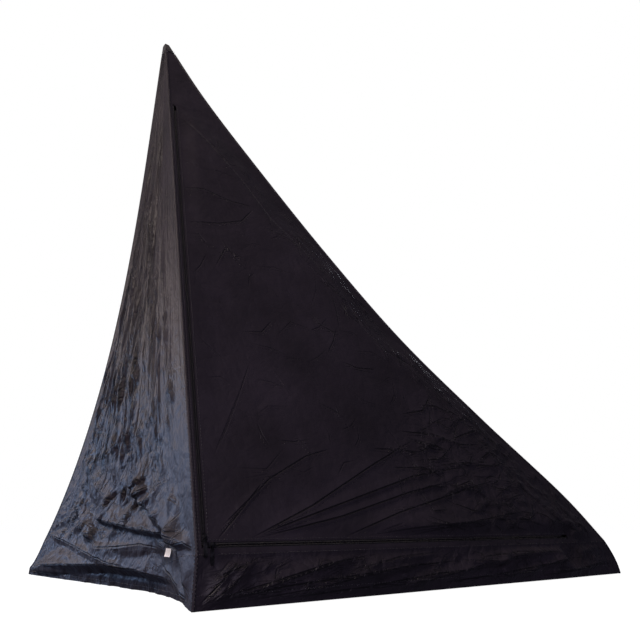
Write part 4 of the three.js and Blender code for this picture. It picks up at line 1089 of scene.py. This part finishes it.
for name, (along, length) in ZIPS.items():
    for half, side in (("frame", -1), ("door", 1)):
        clear = DOOR_CLEAR if half == "door" else FRAME_CLEAR
        low, high = clear, length - clear
        turned = Matrix(np.stack([np.cross(OUT, along), OUT, along], 1).tolist()).to_euler()
        place = zip_place(name, side * COIL_MIDDLE, low + (COIL_PITCH / 2 if half == "door" else 0), -0.0006)
        chain = grown(f"{name}_coil_{half}", bpy.data.meshes.new("coil_seed"), coil,
            {"Length": high - low, "Pitch": COIL_PITCH, "Half Width": COIL_HALF, "Half Depth": COIL_DEPTH,
            "Wire": WIRE, "Place": tuple(place), "Turn": tuple(turned), "Nylon": coil_nylon})
        outer = 0.0115 if half == "frame" else 0.015
        section = [(0.0012, -0.0024), (0.004, -0.0021), (0.0046, -0.0024), (outer, -0.0024), (outer, -0.0032),
            (0.0012, -0.0032)]
        y = np.linspace(low - 0.001, high + 0.001, 140)[:, None]
        ring = np.stack([zip_place(name, side * x, y[:, 0], h) for x, h in section], 1)
        tape = swept(f"{name}_woven_tape_{half}", ring, zip_tape)
        for piece, node, finish in ((chain, "chain", "zip_coil"), (tape, "tape", "webbing")):
            belongs(piece, f"{name}_{node}_{half}", finish, None if half == "door" else "tent")
            if half == "door":
                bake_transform(piece)
        beside = "near_strip_cloth" if name == "upright_zip" else "near_skirt_cloth"

door_stitches = sewn("door_edge_stitches", stitch_rows["door"])
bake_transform(door_stitches)

# ---------- Light baffles ----------
# A strip of the wall cloth behind each zip overlaps the closed door from inside, so no light gets round the coil.
for name, low, high, frame_strip in (("upright", 0.036, ZIPS["upright_zip"][1] - 0.06, "near_strip_cloth"),
        ("sill", 0.0, ZIPS["sill_zip"][1] - 0.04, "near_skirt_cloth")):
    x = np.concatenate([[-0.0115, -0.0075, -0.006, -0.0045], np.linspace(-0.003, 0.034, 12)])
    y = np.linspace(low, high, 150)
    depth = np.interp(x, [-0.0075, -0.0035], [-0.0036, -0.008])
    xs, ys = np.meshgrid(x, y, indexing="ij")
    slackness = smooth((xs - 0.002) / 0.03)
    wave = (0.0012 * crumple(xs * 2, ys, 0.12, 201) + 0.0006 * crumple(xs, ys, 0.03, 203)) * slackness
    strip_points = zip_place(f"{name}_zip", xs, ys, depth[:, None] + 0 * ys)
    baffle = cloth_panel(f"{name}_baffle_cloth", strip_points, wave, OUT, np.stack([xs, ys], -1), wall_nylon, 0.35)
    belongs(baffle, f"{name}_baffle", "wall_cloth")

# ---------- Side label ----------
# A blank white woven satin label, its top edge caught in the skirt seam of the entrance wall. It hangs a little
# turned, and its loose end curls.
label_satin, tree, shader = new_material("white_woven_satin_label")
where = add(tree, "UVMap", uv_map="cloth")
# The satin's floats are 0.2 mm apart. They are drawn 0.8 mm apart.
floats = add(tree, "TexWave", {"Vector": where, "Scale": BANDS / 0.0008, "Distortion": 0.8}, bands_direction="Y")
worn = add(tree, "TexNoise", {"Vector": where, "Scale": 160.0, "Detail": 3.0})
tone = add(tree, "Mix", {0: worn, 6: linear("#e9e9ea"), 7: linear("#fbfbfb")}, data_type="RGBA")
relief = add(tree, "Bump", {"Height": floats.outputs["Fac"], "Strength": 0.4, "Distance": 0.0001})
fill(shader, {"Base Color": tone.outputs[2], "Normal": relief, "Roughness": 0.42, "Sheen Weight": 0.3})
LABEL_WIDTH, LABEL_DROP, LABEL_TURN, LABEL_TILT = 0.0125, 0.0155, 0.5, 0.12
LABEL_SHIFT = np.array([-0.003, 0, 0.006])  # from the middle of its CAD solid, to hang clear of the folds
box_low, box_high = (np.array(corner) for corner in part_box("side_label"))
turned = np.array(Matrix.Rotation(LABEL_TILT, 3, "Y") @ Matrix.Rotation(LABEL_TURN, 3, "Z"))
down, across = grid(26, 18)
curl = 0.0016 * down ** 3 + 0.0007 * (2 * across - 1) ** 2 * (0.4 + 0.6 * down)
local = np.stack([-curl, (across - 0.5) * LABEL_WIDTH, (0.5 - down) * LABEL_DROP], -1)
label = cloth_panel("side_label_cloth", local @ turned.T + (box_low + box_high) / 2 + LABEL_SHIFT,
    np.zeros_like(down), (-1, 0, 0), np.stack([across * LABEL_WIDTH, down * LABEL_DROP], -1), label_satin, 0.0,
    thickness=0.0006)
belongs(label, "side_label", "label_cloth")

# ---------- Peak cap ----------
# Woven webbing folded over the peak and sewn down round its edge, where the four walls meet over the mast's tip.
peak_rings = []
edge_shares = np.linspace(0.06, 0.94, 7)[:, None]
for outward_by in (-0.0004, 0.0012):
    shell = []
    for height, shrink in ((HEIGHT - CAP_HEIGHT - 0.004, 1), (HEIGHT - CAP_HEIGHT, 1), (HEIGHT - 0.018, 1),
            (HEIGHT - 0.006, 1), (HEIGHT - 0.0012 + outward_by, 0.97), (HEIGHT - 0.0008 + outward_by, 0.85),
            (HEIGHT - 0.0006 + outward_by, 0.3)):
        at = min(height, HEIGHT - 0.0005)
        corners = np.array([corner(np.array(at)) for corner in (near_front, near_hip, far_hip, far_front)])
        middle = corners.mean(0)
        ring = np.concatenate([a + (b - a) * edge_shares for a, b in zip(corners, np.roll(corners, -1, axis=0))])
        widened = 1 + outward_by / np.linalg.norm(ring - middle, axis=1, keepdims=True)
        ring = middle + (ring - middle) * shrink * widened
        ring[:, 2] = height
        shell.append(ring)
    peak_rings.append(shell)
cap = swept("apex_cap_webbing", peak_rings[0][::-1] + peak_rings[1], webbing)
belongs(cap, "apex_cap", "webbing")
cap_foot = np.concatenate([peak_rings[1][1], peak_rings[1][1][:1]])
for lift in (0.001, 0.005):
    stitch_rows["tent"].append(cap_foot + np.array([0, 0, lift]))

# ---------- Groundsheet, mast patch and hem tunnels ----------
# The floor is the same nylon, laid flat and a little rucked, with a doubled webbing patch under the mast.
# The hem rods run in half-round tunnels of webbing sewn inside the skirt.
# Its third colour is the near-black painted shade for grooves and crinkle lines.
floor_nylon = coated_nylon("black_coated_nylon_floor", ("#141215", "#1d1a1f", "#0a090b"), 0.02, (0.5, 0.66))
along, across = grid(150, 120)
FLOOR_TOP, MAST_FOOT_X = 0.0021, -0.572
floor_left = entrance_point(across, 0 * across)[..., 0] + 0.003
floor_right = LENGTH / 2 - 0.004
floor_points = np.stack([floor_left + (floor_right - floor_left) * along, (across - 0.5) * (WIDTH - 0.012),
    FLOOR_TOP + 0 * along], -1)
rim = np.minimum(np.minimum(across, 1 - across), np.minimum(along, 1 - along))
rucked = np.abs(crumple(floor_points[..., 0], floor_points[..., 1], 0.14, 301))
rucks = 0.0014 * rucked * smooth((rim - 0.02) / 0.06)
around_mast = np.hypot(floor_points[..., 0] - MAST_FOOT_X, floor_points[..., 1])
rucks = rucks * smooth((around_mast - 0.036) / 0.03)
groundsheet = cloth_panel("groundsheet_cloth", floor_points, rucks, (0, 0, 1), floor_points[..., :2], floor_nylon,
    0.5, thickness=0.0018)
belongs(groundsheet, "groundsheet", "floor_cloth")

u, v = (2 * g - 1 for g in grid(24, 24))
patch_low, patch_high = (np.array(corner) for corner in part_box("mast_patch"))
patch_middle, patch_reach = (patch_low + patch_high) / 2, (patch_high[0] - patch_low[0]) / 2
disc = np.stack([u * np.sqrt(1 - v * v / 2), v * np.sqrt(1 - u * u / 2)], -1) * patch_reach
patch_points = np.concatenate([disc + patch_middle[:2], (patch_high[2] + 0 * u)[..., None]], -1)
patch = cloth_panel("mast_patch_webbing", patch_points, -0.0002 * np.hypot(u, v) ** 8, (0, 0, 1), disc, webbing,
    0.0, thickness=0.0013)
belongs(patch, "mast_patch", "webbing")
bearing = np.linspace(0, 2 * math.pi, 41)
for ring_share in (0.55, 0.9):
    stitch_rows["tent"].append(np.stack([patch_middle[0] + ring_share * patch_reach * np.cos(bearing),
        ring_share * patch_reach * np.sin(bearing), patch_high[2] + 0.0003 + 0 * bearing], -1))

TUNNEL_REACH = 0.0071
for name, inward, skirt_name in (("near", (0, 1, 0), "near_skirt_cloth"), ("far", (0, -1, 0), "far_skirt_cloth"),
        ("back", (-1, 0, 0), "back_skirt_cloth")):
    low, high = (np.array(corner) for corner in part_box(f"{name}_hem_tunnel"))
    inward = np.array(inward, float)
    run_axis = 1 if name == "back" else 0
    angle = np.radians(np.linspace(-90, 90, 13))
    y = np.linspace(low[run_axis], high[run_axis], 170)
    angles, ys = np.meshgrid(angle, y, indexing="ij")
    wall_side = np.where(inward > 0, low, high)
    centre = np.array([wall_side[0], wall_side[1], (low[2] + high[2]) / 2])
    tunnel_points = np.zeros(angles.shape + (3,)) + centre
    tunnel_points[..., run_axis] = ys
    sideways, upwards = np.cos(angles)[..., None], np.sin(angles)[..., None]
    tunnel_points += TUNNEL_REACH * (sideways * inward + upwards * np.array([0, 0, 1]))
    gathers = -0.0003 * np.abs(crumple(ys, angles * 0.01, 0.04, 311)) * np.cos(angles)
    sleeve_cloth = cloth_panel(f"{name}_tunnel_webbing", tunnel_points, gathers, inward,
        np.stack([ys, angles * TUNNEL_REACH], -1), webbing, 0.0)
    belongs(sleeve_cloth, f"{name}_hem_tunnel", "webbing")

tent_stitches = sewn("tent_stitches", stitch_rows["tent"])
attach(tent_stitches, "tent")


# ---------- Mast, rods and metal fittings ----------
# The mast is three drawn alloy tubes on a braided shock cord, with a rubber foot and a plastic tip. The hem rods are
# black pultruded glass fibre in alloy sleeves, and the sliders, pulls and stops are lacquered zinc.
def drawn(name, dark, light, stretch, scale, metallic, shine):
    """A drawn or pultruded bar: fine lines along its length, and a gloss that wanders from line to line."""
    material, tree, shader = new_material(name)
    place = add(tree, "TexCoord").outputs["Object"]
    pulled = add(tree, "Mapping", {"Vector": place, "Scale": stretch})
    lines = add(tree, "TexNoise", {"Vector": pulled, "Scale": scale, "Detail": 4.0, "Roughness": 0.6})
    smudge = add(tree, "TexNoise", {"Vector": place, "Scale": 24.0, "Detail": 3.0})
    tone = add(tree, "Mix", {0: lines, 6: linear(dark), 7: linear(light)}, data_type="RGBA")
    both = add(tree, "Math", {0: lines, 1: smudge}, operation="MULTIPLY")
    gloss = add(tree, "MapRange", {"Value": both, "From Max": 0.5, "To Min": shine, "To Max": shine + 0.25})
    relief = add(tree, "Bump", {"Height": lines, "Strength": 0.3, "Distance": 0.00008})
    fill(shader, {"Base Color": tone.outputs[2], "Roughness": gloss, "Normal": relief, "Metallic": metallic})
    return material


satin_alloy = drawn("satin_drawn_alloy", "#8b8e92", "#b4b6b9", (1.0, 1.0, 0.02), 900.0, 1.0, 0.26)
alloy_sleeve = drawn("drawn_alloy_sleeve", "#85888c", "#aeb0b3", (1.0, 1.0, 1.0), 500.0, 1.0, 0.3)
side_fibre = drawn("black_pultruded_glass_fibre", "#101012", "#232327", (0.02, 1.0, 1.0), 700.0, 0.0, 0.3)
back_fibre = drawn("black_pultruded_glass_fibre_crosswise", "#101012", "#232327", (1.0, 0.02, 1.0), 700.0, 0.0, 0.3)
shock_cord, tree, shader = new_material("black_braided_shock_cord")
place = add(tree, "TexCoord").outputs["Object"]
# The braid's plaits are 0.8 mm apart. They are drawn 1.5 mm apart.
plait = add(tree, "TexWave", {"Vector": place, "Scale": BANDS / 0.0015, "Distortion": 1.5},
    bands_direction="DIAGONAL")
tone = add(tree, "Mix", {0: plait.outputs["Fac"], 6: linear("#0d0d0e"), 7: linear("#2a292c")}, data_type="RGBA")
relief = add(tree, "Bump", {"Height": plait.outputs["Fac"], "Strength": 0.7, "Distance": 0.0003})
fill(shader, {"Base Color": tone.outputs[2], "Normal": relief, "Roughness": 0.7})

FINISHES = (("mast_tip", plastic), ("mast_foot", rubber), ("mast_cord", shock_cord), ("mast_", satin_alloy),
    ("_sleeve_", alloy_sleeve), ("back_rod_", back_fibre), ("_rod_cap", plastic), ("_rod_", side_fibre),
    ("_elbow", plastic), ("_zip_", zinc))
for name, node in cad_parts.items():
    for part, finish in FINISHES:
        if part in name:
            node.data.materials.clear()
            node.data.materials.append(finish)
            break
